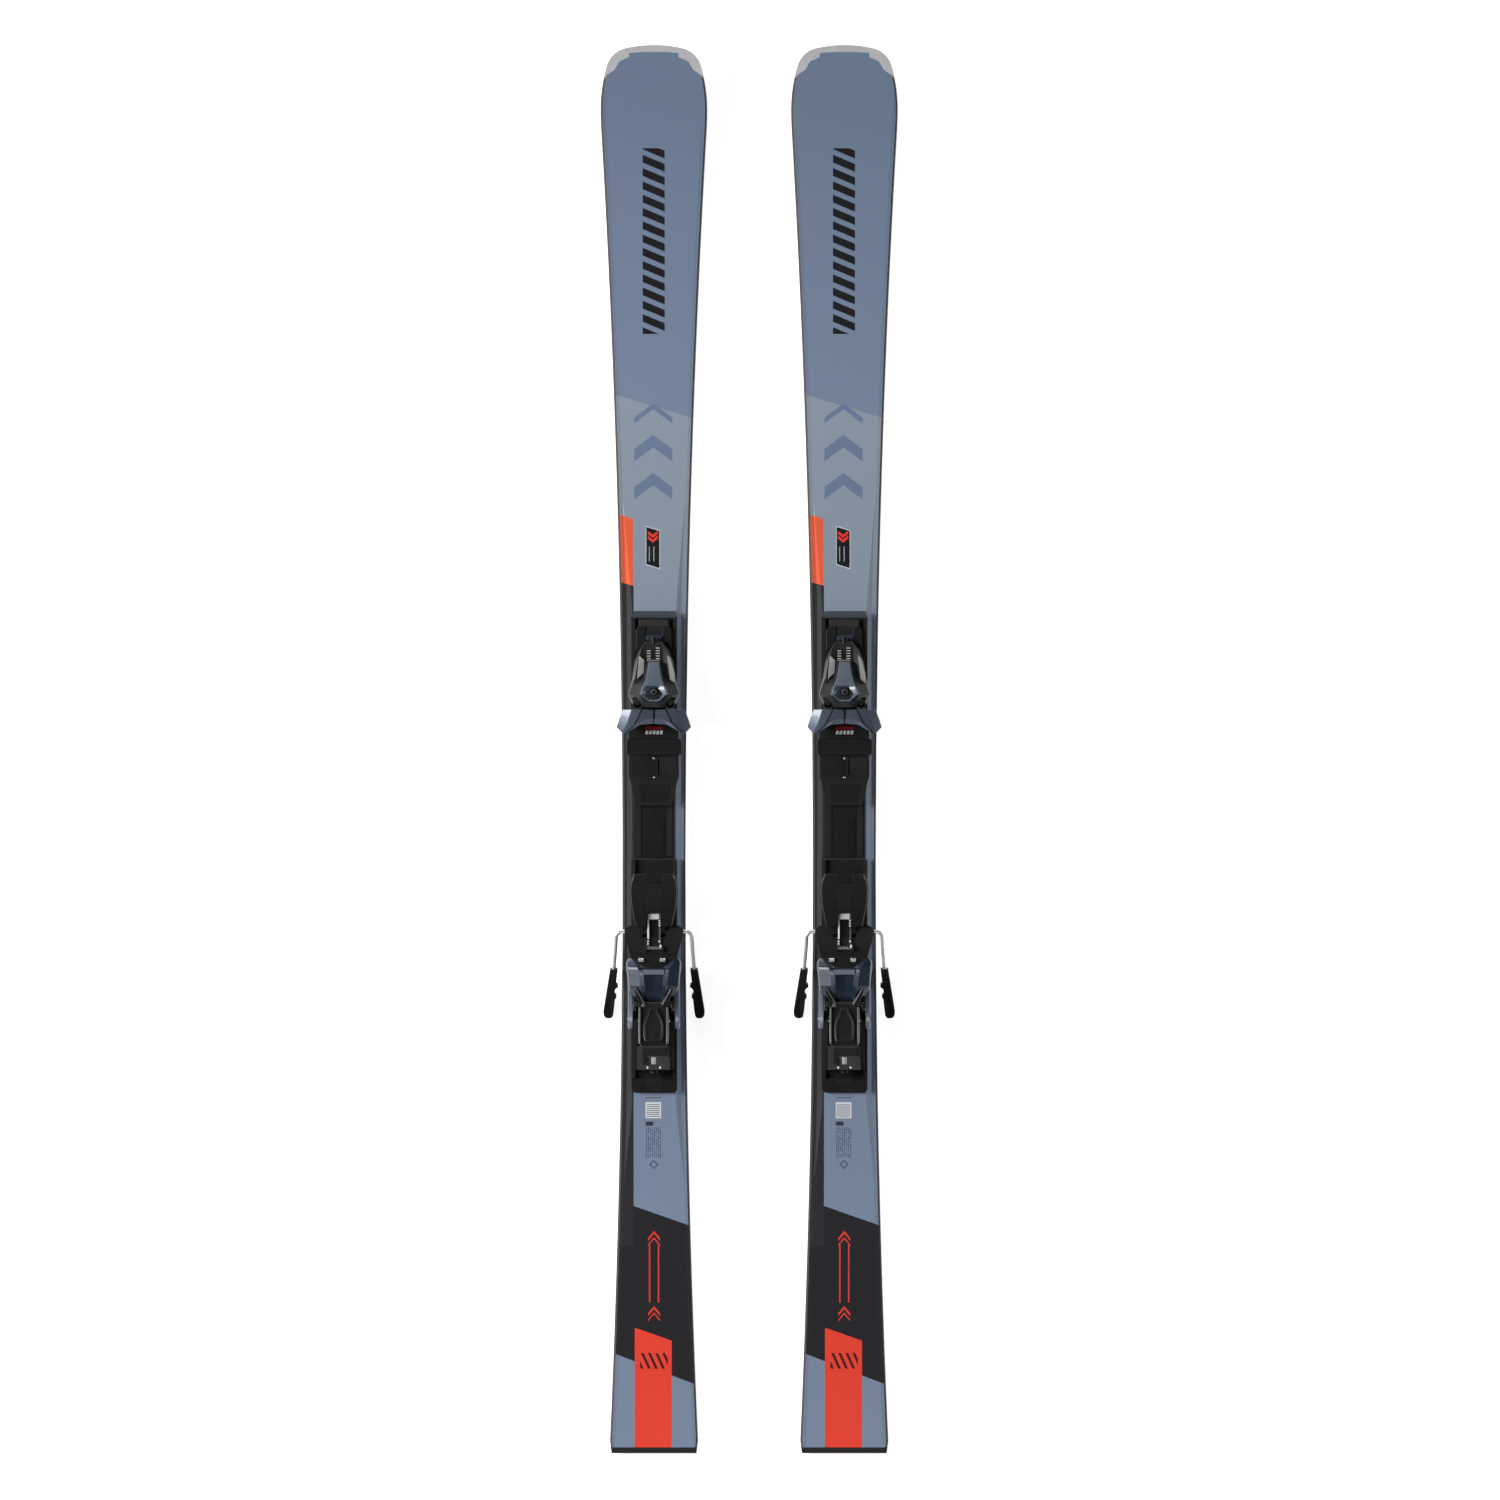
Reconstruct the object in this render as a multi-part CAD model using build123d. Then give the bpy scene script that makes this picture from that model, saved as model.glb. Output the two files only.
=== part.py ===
from build123d import *
import os
from math import asin, cos, degrees, radians, sin, sqrt

# A pair of alpine skis with step-in bindings, lying on their bases. +Y points to the tips and +Z up.
# Every piece is made for a ski centred on x = 0, and is then copied to the left and right ski.

# Ski
SKI_LENGTH = 1700.0
SKI_SPACING = 230.0
WAIST_WIDTH = 76.0
WAIST_Y = -146.0
SIDECUT_RADIUS = 15600.0
SHOULDER_Y = 750.0
SWELL_RADIUS = 400.0
SHOVEL_RADIUS = 181.0
SHOVEL_CORNER_RADIUS = 30.0
HEEL_CORNER_Y = -835.0
TAIL_HALF_WIDTH = 51.2
EDGE_WIDTH = 2.0
BASE_THICKNESS = 1.9
SIDEWALL_WIDTH = 5.0
SHEET_INSET = 2.5
SHEET_THICKNESS = 1.2
SIDEWALL_BEVEL = 1.6
EDGE_FRONT_Y = 795.0
SIDEWALL_FRONT_Y = 811.0
TAIL_GUARD_Y = -843.0

# Side view of the ski: stations along it, height of its base, and thickness there
STATIONS = [-850, -805, -735, -435, 195, 460, 570, 715, 850]
BASE_HEIGHTS = [6, 0, 0, 3, 3, 0, 0, 10, 60]
THICKNESSES = [8, 8.5, 9, 14, 14, 10, 9.5, 8, 7]
BEND_RADII = [400, 4000, 4000, 4000, 4000, 1000, 500]

# Binding heights
PLATEAU_Z = 21.0
TRACK_FLOOR_Z = 24.0
TRACK_TOP_Z = 30.0
DECK_Z = 30.3
TOE_DECK_TOP_Z = 38.0
NOSE_Z = 31.4
SOLE_Z = 43.0
HEEL_DECK_TOP_Z = 36.0

# Binding places along the ski
TRACK_HALF_WIDTH = 28.0
CHANNEL_HALF_WIDTH = 24.6
LIP_HALF_WIDTH = 22.8
TRACK_FRONT_Y = 158.8
TRACK_REAR_Y = -414.0
TOE_PIN = (20.0, 56.0)
BRAKE_AXIS = (-219.0, 35.2)
LATCH_AXIS = (-240.0, 41.0)
HEEL_AXIS = (-325.0, 50.0)
LEVER_AXIS = (-306.0, 83.0)
TOE_SPRING_Z = 43.0
HEEL_SPRING_Z = 46.0

# Small clearances and pins
RUNNING = 0.05
SLIDE_GAP = 0.3
TOE_PIN_RADIUS = 2.5
WIRE_RADIUS = 2.4
GRIP_HALF_THICKNESS = 5.0
BRAKE_REACH = 108.6
HEEL_AXLE_RADIUS = 4.0
SCREW_RADIUS = 2.4
SCREW_HEAD_RADIUS = 4.6
RIB_PITCH = 4.4


def both_sides(points):
    """A closed outline from its right half, listed from front to rear."""
    return points + [(-x, y) for x, y in reversed(points)]


def slab(points, low, high):
    """A plan outline in (x, y), raised from low to high."""
    return Pos(0, 0, low) * extrude(make_face(Polyline(*points, close=True)), high - low)


def across(points, left, right):
    """A side outline in (y, z), run across the ski."""
    face = Plane.YZ * make_face(Polyline(*points, close=True))
    return Pos(left, 0, 0) * extrude(face, right - left)


def along(points, rear, front):
    """A cross-section in (x, z), run along the ski."""
    face = Plane.XZ * make_face(Polyline(*points, close=True))
    return Pos(0, front, 0) * extrude(face, front - rear)


def block(x0, x1, y0, y1, z0, z1):
    return Pos((x0 + x1) / 2, (y0 + y1) / 2, (z0 + z1) / 2) * Box(x1 - x0, y1 - y0, z1 - z0)


def rod_x(radius, x0, x1, y, z):
    return Pos((x0 + x1) / 2, y, z) * Rot(0, 90, 0) * Cylinder(radius, x1 - x0)


def rod_y(radius, y0, y1, x, z):
    return Pos(x, (y0 + y1) / 2, z) * Rot(90, 0, 0) * Cylinder(radius, y1 - y0)


def rod_z(radius, z0, z1, x, y):
    return Pos(x, y, (z0 + z1) / 2) * Cylinder(radius, z1 - z0)


def mirrored(shape):
    return shape + mirror(shape, about=Plane.YZ)


def soften(shape, edges, radius):
    """Rounds the given edges, and leaves the shape as it is where that can't be done."""
    try:
        rounded = fillet(edges, radius)
    except (ValueError, RuntimeError):
        return shape
    return rounded if rounded.is_valid else shape


# ---------------------------------------------------------------- ski


def half_width(y):
    """The sidecut is one circular arc, narrowest at the waist."""
    return WAIST_WIDTH / 2 + SIDECUT_RADIUS - sqrt(SIDECUT_RADIUS**2 - (y - WAIST_Y) ** 2)


def ski_outline():
    """Plan of the ski: straight tail, sidecut arc, and a shovel of arcs that turns in to a blunt nose."""
    middle = (HEEL_CORNER_Y + SHOULDER_Y) / 2
    tail = Polyline((0, -SKI_LENGTH / 2), (TAIL_HALF_WIDTH, -SKI_LENGTH / 2), (half_width(HEEL_CORNER_Y), HEEL_CORNER_Y))
    side = ThreePointArc(
        (half_width(HEEL_CORNER_Y), HEEL_CORNER_Y), (half_width(middle), middle), (half_width(SHOULDER_Y), SHOULDER_Y)
    )
    swell = JernArc(side @ 1, side % 1, SWELL_RADIUS, degrees(asin((SHOULDER_Y - WAIST_Y) / SIDECUT_RADIUS)))
    shovel = JernArc(swell @ 1, swell % 1, SHOVEL_RADIUS, 22.2)
    corner = shovel @ 1
    right = [*tail.edges(), *side.edges(), *swell.edges(), *shovel.edges()]
    nose = ThreePointArc(corner, (0, SKI_LENGTH / 2), (-corner.X, corner.Y))
    face = make_face([*right, *nose.edges(), *mirror(Wire(right), about=Plane.YZ).edges()])
    return fillet([v for v in face.vertices() if abs(v.Y - corner.Y) < 0.01], SHOVEL_CORNER_RADIUS)


def profile_line(heights, lift):
    return FilletPolyline(*[(y, z + lift) for y, z in zip(STATIONS, heights)], radius=BEND_RADII)


TOP_HEIGHTS = [b + t for b, t in zip(BASE_HEIGHTS, THICKNESSES)]


def layer(low, low_lift, high, high_lift):
    """Everything between two lengthwise profiles."""
    lower = profile_line(low, low_lift)
    upper = profile_line(high, high_lift)
    face = make_face([*lower.edges(), Line(lower @ 1, upper @ 1), *upper.edges(), Line(upper @ 0, lower @ 0)])
    return Pos(-70, 0, 0) * extrude(Plane.YZ * face, 140)


def upright(face):
    """A plan face as a tall prism, past the ski's height both ways."""
    return Pos(0, 0, -5) * extrude(face, 90)


def guard_prism():
    """Plan of the tip guard: thin at the middle of the tip, with a wider pad at each shoulder."""
    inner = [(57.7, 813.5), (47.5, 820.5), (41.6, 830.5), (30.0, 835.6), (29.6, 840.6), (14.0, 841.6)]
    outer = [(75, 868), (75, 811)]
    right = outer + inner
    return slab(right + [(-x, y) for x, y in reversed(right)], -5, 85)


def plateau():
    """The raised middle of the top sheet that the binding stands on: sloping sides and long ramps at both ends."""
    ramps = [(300, 10), (300, 14.2), (171, PLATEAU_Z), (-430, PLATEAU_Z), (-530, 14.2), (-530, 10)]
    slopes = both_sides([(37.3, 10), (37.3, 14.2), (26.5, PLATEAU_Z)])
    return across(ramps, -40, 40) & along(slopes, -530, 300)


def screw_places():
    """Where the track screws stand, front to rear."""
    return [(x, y) for x, y in ((15.5, 150), (15.5, -20), (15.5, -150), (7.3, -390.5)) for x in (x, -x)]


def screw_bodies(radius_gap=0.0):
    """Countersunk screws that hold the tracks to the ski. A gap widens them into their holes."""
    found = Part()
    for x, y in screw_places():
        found += rod_z(SCREW_RADIUS + radius_gap, 12, TRACK_FLOOR_Z, x, y)
        head = Cone(SCREW_RADIUS, SCREW_HEAD_RADIUS, 2.4)
        found += Pos(x, y, TRACK_FLOOR_Z - 1.2) * head
    return found


def make_ski():
    outline = ski_outline()
    full = upright(outline)
    tip = guard_prism()
    tail = block(-80, 80, -860, TAIL_GUARD_Y, -5, 85)
    bottom = layer(BASE_HEIGHTS, 0, BASE_HEIGHTS, BASE_THICKNESS) & full
    middle = layer(BASE_HEIGHTS, BASE_THICKNESS, TOP_HEIGHTS, -SHEET_THICKNESS) & full
    edge_ring = upright(outline - offset(outline, amount=-EDGE_WIDTH))
    wall_ring = upright(outline - offset(outline, amount=-SIDEWALL_WIDTH))
    edge_span = block(-80, 80, TAIL_GUARD_Y, EDGE_FRONT_Y, -5, 85)
    wall_span = block(-80, 80, TAIL_GUARD_Y, SIDEWALL_FRONT_Y, -5, 85)
    steel_edges = bottom & edge_ring & edge_span
    base = bottom - steel_edges - tip - tail
    sidewalls = middle & wall_ring & wall_span
    screws = screw_bodies()
    core = middle - sidewalls - tip - tail - screws
    sheet_plan = upright(offset(outline, amount=-SHEET_INSET))
    sheet = layer(TOP_HEIGHTS, -SHEET_THICKNESS, TOP_HEIGHTS, 0) & sheet_plan
    above = layer(TOP_HEIGHTS, -SHEET_THICKNESS / 2, TOP_HEIGHTS, 40) & sheet_plan
    topsheet = sheet - tip - tail + (plateau() & above) - screws
    blank = layer(BASE_HEIGHTS, 0, TOP_HEIGHTS, 0) & full
    return {
        "base": base,
        "steel_edges": steel_edges,
        "core": core,
        "sidewalls": bevelled(sidewalls),
        "topsheet": topsheet,
        "tip_guard": blank & tip,
        "tail_guard": blank & tail,
        "track_screws": slotted(screws),
    }


def bevelled(sidewalls):
    """Bevels the upper outer edge of both sidewalls."""
    made = Part()
    for wall in sidewalls.solids():
        tops = [f for f in wall.faces() if f.normal_at().Z > 0.8]
        outer = [
            f for f in wall.faces()
            if abs(f.normal_at().Z) < 0.1 and f.normal_at().X * f.center().X > 0 and f.area > 60
        ]
        outer_edges = [e for f in outer for e in f.edges()]
        shared = [e for t in tops for e in t.edges() if any(e.is_same(o) for o in outer_edges)]
        try:
            cut = chamfer(shared, SIDEWALL_BEVEL)
            made += cut if cut.is_valid else wall
        except (ValueError, RuntimeError):
            print("sidewall bevel left out")
            made += wall
    return made


def slotted(screws):
    """A cross recess in each screw head."""
    for x, y in screw_places():
        for turn in (45, 135):
            screws -= Pos(x, y, TRACK_FLOOR_Z - 0.5) * Rot(0, 0, turn) * Box(5, 1.2, 1.1)
    return screws


# ---------------------------------------------------------------- tracks and band


def ribs(half_x, rear, front, low, high):
    """Diagonal ribs that fill a rectangular window."""
    window = block(-half_x, half_x, rear, front, low, high)
    stripes = Part()
    count = int((front - rear + 2 * half_x) / RIB_PITCH) + 2
    for n in range(count):
        y = rear - half_x + n * RIB_PITCH
        stripes += Pos(0, y, (low + high) / 2) * Rot(0, 0, -40) * Box(4 * half_x, 1.7, high - low)
    return stripes & window


def channel(rear, front):
    """Track cross-section: a floor, two side walls, and lips that hold a carriage down."""
    w, c, lip = TRACK_HALF_WIDTH, CHANNEL_HALF_WIDTH, LIP_HALF_WIDTH
    right = [(w, PLATEAU_Z), (w, TRACK_TOP_Z - 0.8), (w - 0.8, TRACK_TOP_Z), (lip, TRACK_TOP_Z)]
    right += [(lip, 28.6), (c, 28.6), (c, TRACK_FLOOR_Z)]
    return along(right + [(-x, z) for x, z in reversed(right)], rear, front)


def make_tracks():
    front = channel(-34, TRACK_FRONT_Y)
    front += ribs(10.5, 134, 154, TRACK_FLOOR_Z, TRACK_FLOOR_Z + 1)
    rear = channel(-396.5, -132)
    end = slab(both_sides([(TRACK_HALF_WIDTH, -396.5), (TRACK_HALF_WIDTH, TRACK_REAR_Y)]), PLATEAU_Z, 27.5)
    corners = [e for e in end.edges().filter_by(Axis.Z) if e.center().Y < -400]
    end = soften(end, corners, 6)
    end = soften(end, end.faces().sort_by(Axis.Z)[-1].edges().sort_by(Axis.Y)[:3], 1.2)
    rear += end
    rear += ribs(10.5, -411, -399, 27.5, 28.3)
    holes = screw_bodies()
    return {"tracks": (front - holes) + (rear - holes)}


def make_track_cap():
    plan = slab(both_sides([(23.6, 168), (29, 159.3), (29, TRACK_FRONT_Y)]), 20, 40)
    side = [(168, PLATEAU_Z), (168, 23.2), (160, 31), (TRACK_FRONT_Y, 31), (TRACK_FRONT_Y, PLATEAU_Z)]
    return {"track_cap": plan & across(side, -30, 30)}


def make_mid_band():
    band = slab(both_sides([(24.5, -37), (24.5, -131.5)]), PLATEAU_Z, 23)
    rails = mirrored(block(15.5, 22.5, -128, -37, 23, 24))
    return {"mid_band": band + rails + ribs(11.5, -131, -82, 23, 24.4)}


# ---------------------------------------------------------------- toe piece


def slide_foot(rear, front):
    """The part of a carriage that runs in its track, with room over the rack."""
    c, lip = CHANNEL_HALF_WIDTH - SLIDE_GAP, LIP_HALF_WIDTH - SLIDE_GAP
    floor = TRACK_FLOOR_Z + SLIDE_GAP
    right = [(11.2, 25.8), (11.2, floor), (c, floor), (c, 28.2), (lip, 28.2), (lip, DECK_Z + 0.5)]
    return along(both_sides(right), rear, front)


def make_toe_carriage():
    foot = slide_foot(-33, 146)
    front = slab(both_sides([(21.5, 145.5), (21.5, 46)]), DECK_Z, 34)
    nose = slab(both_sides([(18.5, 157.5), (18.5, 149), (21.5, 145.5)]), NOSE_Z, 34)
    deck = slab(both_sides([(22, 50), (30, 42), (30, -33), (28, -38)]), DECK_Z, TOE_DECK_TOP_Z)
    tail_plan = slab(both_sides([(30, -32), (28, -38), (22, -67)]), 26, 40)
    tail_side = [(-35, DECK_Z), (-35, TOE_DECK_TOP_Z), (-40, TOE_DECK_TOP_Z), (-67, 31), (-67, 26), (-46, 26), (-46, DECK_Z)]
    carriage = foot + front + nose + deck + (tail_plan & across(tail_side, -31, 31))
    carriage += block(-18, 18, 1, 7, TOE_DECK_TOP_Z, TOE_DECK_TOP_Z + 2)
    carriage -= block(5, 6.6, -30, -11, 35, 50)
    for y in (-10, -33):
        carriage -= rod_z(2.2, 34, 50, 0, y)
    return {"toe_carriage": carriage}


def make_afd_slider():
    shape = block(-33.5, 33.5, -6.3, 13.8, TOE_DECK_TOP_Z + SLIDE_GAP, SOLE_Z)
    shape = soften(shape, shape.edges().filter_by(Axis.Z), 3)
    shape = soften(shape, shape.faces().sort_by(Axis.Z)[-1].edges(), 0.8)
    shape -= block(-40, 40, 0.7, 7.3, TOE_DECK_TOP_Z, TOE_DECK_TOP_Z + 2 + SLIDE_GAP)
    return {"afd_slider": shape}


TOE_SIDE = [(132, 34), (132, 48), (112, 56), (84, 70), (62, 79), (51, 77), (51, 34)]


def make_toe_housing():
    plan = slab(both_sides([(9, 132), (17, 123), (24, 98), (27, 74), (31, 64), (23, 51)]), 34, 90)
    housing = plan & across(TOE_SIDE, -32, 32)
    shoulder = along([(-32, 34), (-32, 60), (-15, 82), (15, 82), (32, 60), (32, 34)], 50, 133)
    housing &= shoulder
    pocket = slab([(12.5, 122), (17, 118), (21.5, 98), (23.5, 82), (19, 76), (13.5, 92)], 46, 90)
    housing -= mirrored(pocket)
    housing -= mirrored(block(8, 40, 40, 63.5, 61.6, 70.4))
    x, y = TOE_PIN
    housing -= mirrored(rod_z(TOE_PIN_RADIUS, 58, 74, x, y))
    housing -= rod_y(7.2, 58, 112, 0, TOE_SPRING_Z)
    housing -= rod_y(3 + RUNNING, 111, 133, 0, TOE_SPRING_Z)
    housing -= rod_z(3, 72, 90, 0, 69.7)
    return {"toe_housing": housing}


def make_toe_cover():
    plan = slab(both_sides([(6.5, 106.6), (8.2, 95), (11, 84), (16.3, 66), (8, 60.5)]), 50, 90)
    side = across([(107, 58.5), (84, 70), (62, 79), (58, 78.3), (58, 80.6), (64, 82.6), (84, 74.2), (107, 62.6)], -20, 20)
    return {"toe_cover": (plan & side) - rod_z(3, 72, 90, 0, 69.7)}


def make_toe_wing(side):
    """One wing of the toe cup, on its upright pin. side is 1 for right and -1 for left."""
    hook = [(0.4, 48.6), (36.9, 48.6), (45, 27.3), (38.5, 17.7), (33, 22.5), (17.3, 33.4), (0.4, 34.8)]
    wall = [(0.4, 48.6), (36.9, 48.6), (44, 28), (41, 21.8), (36, 27.5), (19, 38.4), (0.4, 39.8)]
    cap_side = across([(50, 40), (50, 74), (40, 76), (30, 75), (15, 68), (15, 40)], 0, 50)
    wing = (slab(hook, 62, 80) & cap_side) + slab(wall, 44, 62)
    x, y = TOE_PIN
    lug = block(x - 5, x + 5, 44, y, 62, 70) + rod_z(5.6, 62, 70, x, y)
    wing += lug
    wing -= rod_z(TOE_PIN_RADIUS + RUNNING, 60, 72, x, y)
    return wing if side > 0 else mirror(wing, about=Plane.YZ)


def coil(radius, wire, turns, y0, y1, z):
    """A round-wire compression spring along the ski."""
    length = y1 - y0 - 2 * wire
    path = Helix(pitch=length / turns, height=length, radius=radius)
    ring = Plane(origin=path @ 0, z_dir=path % 0) * Circle(wire)
    spring = sweep(ring, path=path, is_frenet=True)
    return Pos(0, y1 - wire, z) * Rot(90, 0, 0) * spring


def make_toe_inside():
    spring = coil(5.4, 1.3, 7, 59, 108, TOE_SPRING_Z)
    screw = rod_y(3, 108.5, 132.3, 0, TOE_SPRING_Z) + rod_y(4.4, 132.3, 136, 0, TOE_SPRING_Z)
    screw -= block(-5, 5, 134.6, 137, TOE_SPRING_Z - 0.6, TOE_SPRING_Z + 0.6)
    x, y = TOE_PIN
    fasteners = mirrored(rod_z(TOE_PIN_RADIUS, 58, 74, x, y))
    fasteners += rod_z(3, 73, 82.4, 0, 69.7)
    for place in (-10, -33):
        fasteners += rod_z(2.2, 34, TOE_DECK_TOP_Z, 0, place)
    return {"toe_spring": spring, "toe_release_screw": screw, "toe_fasteners": fasteners}


# ---------------------------------------------------------------- heel piece


def make_heel_carriage():
    foot = slide_foot(-380, -226)
    plate = slab(both_sides([(30, -212), (35.5, -216), (35.5, -223), (25.5, -258), (25.5, -381)]), DECK_Z, HEEL_DECK_TOP_Z)
    brake_y, brake_z = BRAKE_AXIS
    plate += slab(both_sides([(30, -212), (35.5, -216), (35.5, -223), (29, -246)]), DECK_Z, 39)
    plate -= block(-14, 14, -226, -205, 20, 60)
    plate -= rod_x(WIRE_RADIUS + RUNNING, -40, 40, brake_y, brake_z)
    cheek_side = [(-300, 36), (-312, 51), (-318, 58), (-325, 60.5), (-335, 59), (-386, 54), (-386, 30.3), (-300, 30.3)]
    cheeks = mirrored(across(cheek_side, 19.5, 24.6))
    block_rear = block(-20, 20, -386, -373, DECK_Z, 54) + block(-20, 20, -386, -356.5, 54, 56.5)
    latch_y, latch_z = LATCH_AXIS
    lugs = mirrored(block(8.7, 11.5, latch_y - 3, latch_y + 3, HEEL_DECK_TOP_Z, latch_z + 2.8))
    carriage = foot + plate + cheeks + block_rear + lugs
    axle_y, axle_z = HEEL_AXIS
    carriage -= rod_x(HEEL_AXLE_RADIUS, -30, 30, axle_y, axle_z)
    carriage -= rod_x(1.5 + RUNNING, -12, 12, latch_y, latch_z)
    carriage -= rod_y(3 + RUNNING, -390, -370, 0, HEEL_SPRING_Z)
    spring = coil(6.2, 1.5, 5, -372.8, -339, HEEL_SPRING_Z)
    screw = rod_y(3, -386.3, -374, 0, HEEL_SPRING_Z) + rod_y(5, -390, -386.3, 0, HEEL_SPRING_Z)
    screw -= block(-6, 6, -391, -388.6, HEEL_SPRING_Z - 0.7, HEEL_SPRING_Z + 0.7)
    return {
        "heel_carriage": carriage,
        "heel_spring": spring,
        "heel_release_screw": screw,
        "heel_axle": rod_x(HEEL_AXLE_RADIUS, -31, 31, axle_y, axle_z),
    }


def make_length_latch():
    y, z = LATCH_AXIS
    strips = mirrored(block(5.8, 8.3, y - 1.2, -200, z - 1.4, z + 0.6))
    latch = strips + block(-8.3, 8.3, -205, -196, z - 1.4, z + 1.0)
    latch += rod_x(1.5, -11, 11, y, z)
    return {"length_latch": latch}


def make_heel_housing():
    y, z = HEEL_AXIS
    cup_side = [(-262, 50), (-262, 77), (-251.5, 78.5), (-252, 90), (-262, 96), (-280, 95), (-300, 84), (-303, 66), (-293, 50)]
    cup = across(cup_side, -25.2, 25.2)
    mouth = slab(both_sides([(26, -240), (21, -251), (12, -256), (4, -258)]), 76, 100)
    cup -= mouth
    arm_side = [
        (-251, 66), (-250, 84), (-256, 92), (-270, 94), (-300, 84), (-318, 70), (-332, 60),
        (-337, 52), (-335, 43), (-325, 39), (-312, 42), (-290, 54), (-262, 58),
    ]
    arms = mirrored(across(arm_side, 25.1, 31))
    horns = mirrored(slab([(31, -250.5), (33, -253), (33.5, -275), (31, -296)], 68, 90))
    walls = mirrored(across([(-295, 66), (-295, 88), (-306, 90), (-314, 84), (-316, 70), (-308, 66)], 19.5, 25.2))
    housing = cup + arms + horns + walls
    housing -= rod_x(HEEL_AXLE_RADIUS + RUNNING, -32, 32, y, z)
    lever_y, lever_z = LEVER_AXIS
    housing -= rod_x(3 + RUNNING, -23, 23, lever_y, lever_z)
    return {"heel_housing": housing}


def make_heel_lever():
    side = [(-304, 76), (-304, 91), (-312, 92), (-332, 95), (-353, 100.5), (-357, 99.5), (-357, 95), (-340, 85), (-318, 76)]
    lever = across(side, -18.6, 18.6)
    recess = slab(both_sides([(6.5, -300), (6, -311), (10.5, -322), (13, -335), (10, -351.5)]), 80, 120)
    recess &= across([(-300, 88), (-312, 88.6), (-332, 91.4), (-356, 97.4), (-356, 120), (-300, 120)], -14, 14)
    lever -= recess
    y, z = LEVER_AXIS
    lever += rod_x(3, -22.6, 22.6, y, z)
    return {"heel_lever": lever}


# ---------------------------------------------------------------- brake


def make_brake():
    """The brake, drawn with its pedal pressed flat and then let down until its grips reach the floor."""
    y, z = BRAKE_AXIS
    end_y = y - BRAKE_REACH
    half_path = [(45.5, y), (46.5, y - 20), (49.0, y - 50), (55.0, end_y + 3)]
    route = [(-px, py) for px, py in reversed(half_path)] + half_path
    path = FilletPolyline(*route, radius=[30, 20, 8, 8, 20, 30])
    start = Plane(origin=path @ 0, z_dir=path % 0)
    wires = Pos(0, 0, z) * sweep(start * Circle(WIRE_RADIUS), path=path)
    outer = [(52.8, y - 47), (61.2, end_y + 8), (60.2, end_y + 2.2), (57.2, end_y)]
    inner = [
        (52.6, end_y), (49.8, end_y + 2.2), (48.6, end_y + 10), (47.2, end_y + 24), (45.4, end_y + 26.5),
        (45.6, end_y + 28.5), (48.0, end_y + 31), (46.8, end_y + 37), (43.4, end_y + 39.6), (43.8, end_y + 42.2),
        (46.0, end_y + 43.4), (43.8, y - 47),
    ]
    t = GRIP_HALF_THICKNESS
    grip = slab(outer + inner, z - t, z + t)
    grip = soften(grip, grip.faces().sort_by(Axis.Z)[-1].edges() + grip.faces().sort_by(Axis.Z)[0].edges(), 1.2)
    grips = mirrored(grip) - wires
    pedal_plan = [(24, -145), (27.5, -153), (29.2, -165), (28, -183), (22.5, -211), (9.8, -211), (9.8, -193)]
    notch = block(-9.5, 9.5, -158, -140, 20, 60)
    pedal = slab(both_sides(pedal_plan[:5]), 39.4, 42.8) - notch - block(-9.8, 9.8, -215, -193, 20, 60)
    pedal = soften(pedal, pedal.faces().sort_by(Axis.Z)[-1].edges(), 0.8)
    knuckle = rod_x(4.6, 10, 13.6, y, z) + across([(y, z - 3), (y, z + 4.4), (-211, 42.8), (-204, 42.8), (-204, 39.4), (y + 4, z - 2)], 10, 13.6)
    pedal += mirrored(knuckle)
    pedal -= wires
    droop = degrees(asin((z - t - 0.05) / BRAKE_REACH))
    print("brake droops", round(droop, 2), "degrees at rest")
    turned = Pos(0, y, z) * Rot(droop, 0, 0) * Pos(0, -y, -z)
    return {"brake_pedal": turned * pedal, "brake_wires": turned * wires, "brake_grips": turned * grips}


# ---------------------------------------------------------------- the pair


def make_all():
    pieces = {}
    for made in (
        make_ski(),
        make_tracks(),
        make_track_cap(),
        make_mid_band(),
        make_toe_carriage(),
        make_afd_slider(),
        make_toe_housing(),
        make_toe_cover(),
        {"toe_wing_left": make_toe_wing(-1), "toe_wing_right": make_toe_wing(1)},
        make_toe_inside(),
        make_heel_carriage(),
        make_length_latch(),
        make_heel_housing(),
        make_heel_lever(),
        make_brake(),
    ):
        pieces.update(made)
    return pieces


os.makedirs("parts", exist_ok=True)
for piece_name, piece in make_all().items():
    for ski_name, x in (("left", -SKI_SPACING / 2), ("right", SKI_SPACING / 2)):
        placed = Pos(x, 0, 0) * piece
        export_step(Compound(children=placed.solids()), f"parts/{ski_name}_{piece_name}.step")
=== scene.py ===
import math

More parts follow.
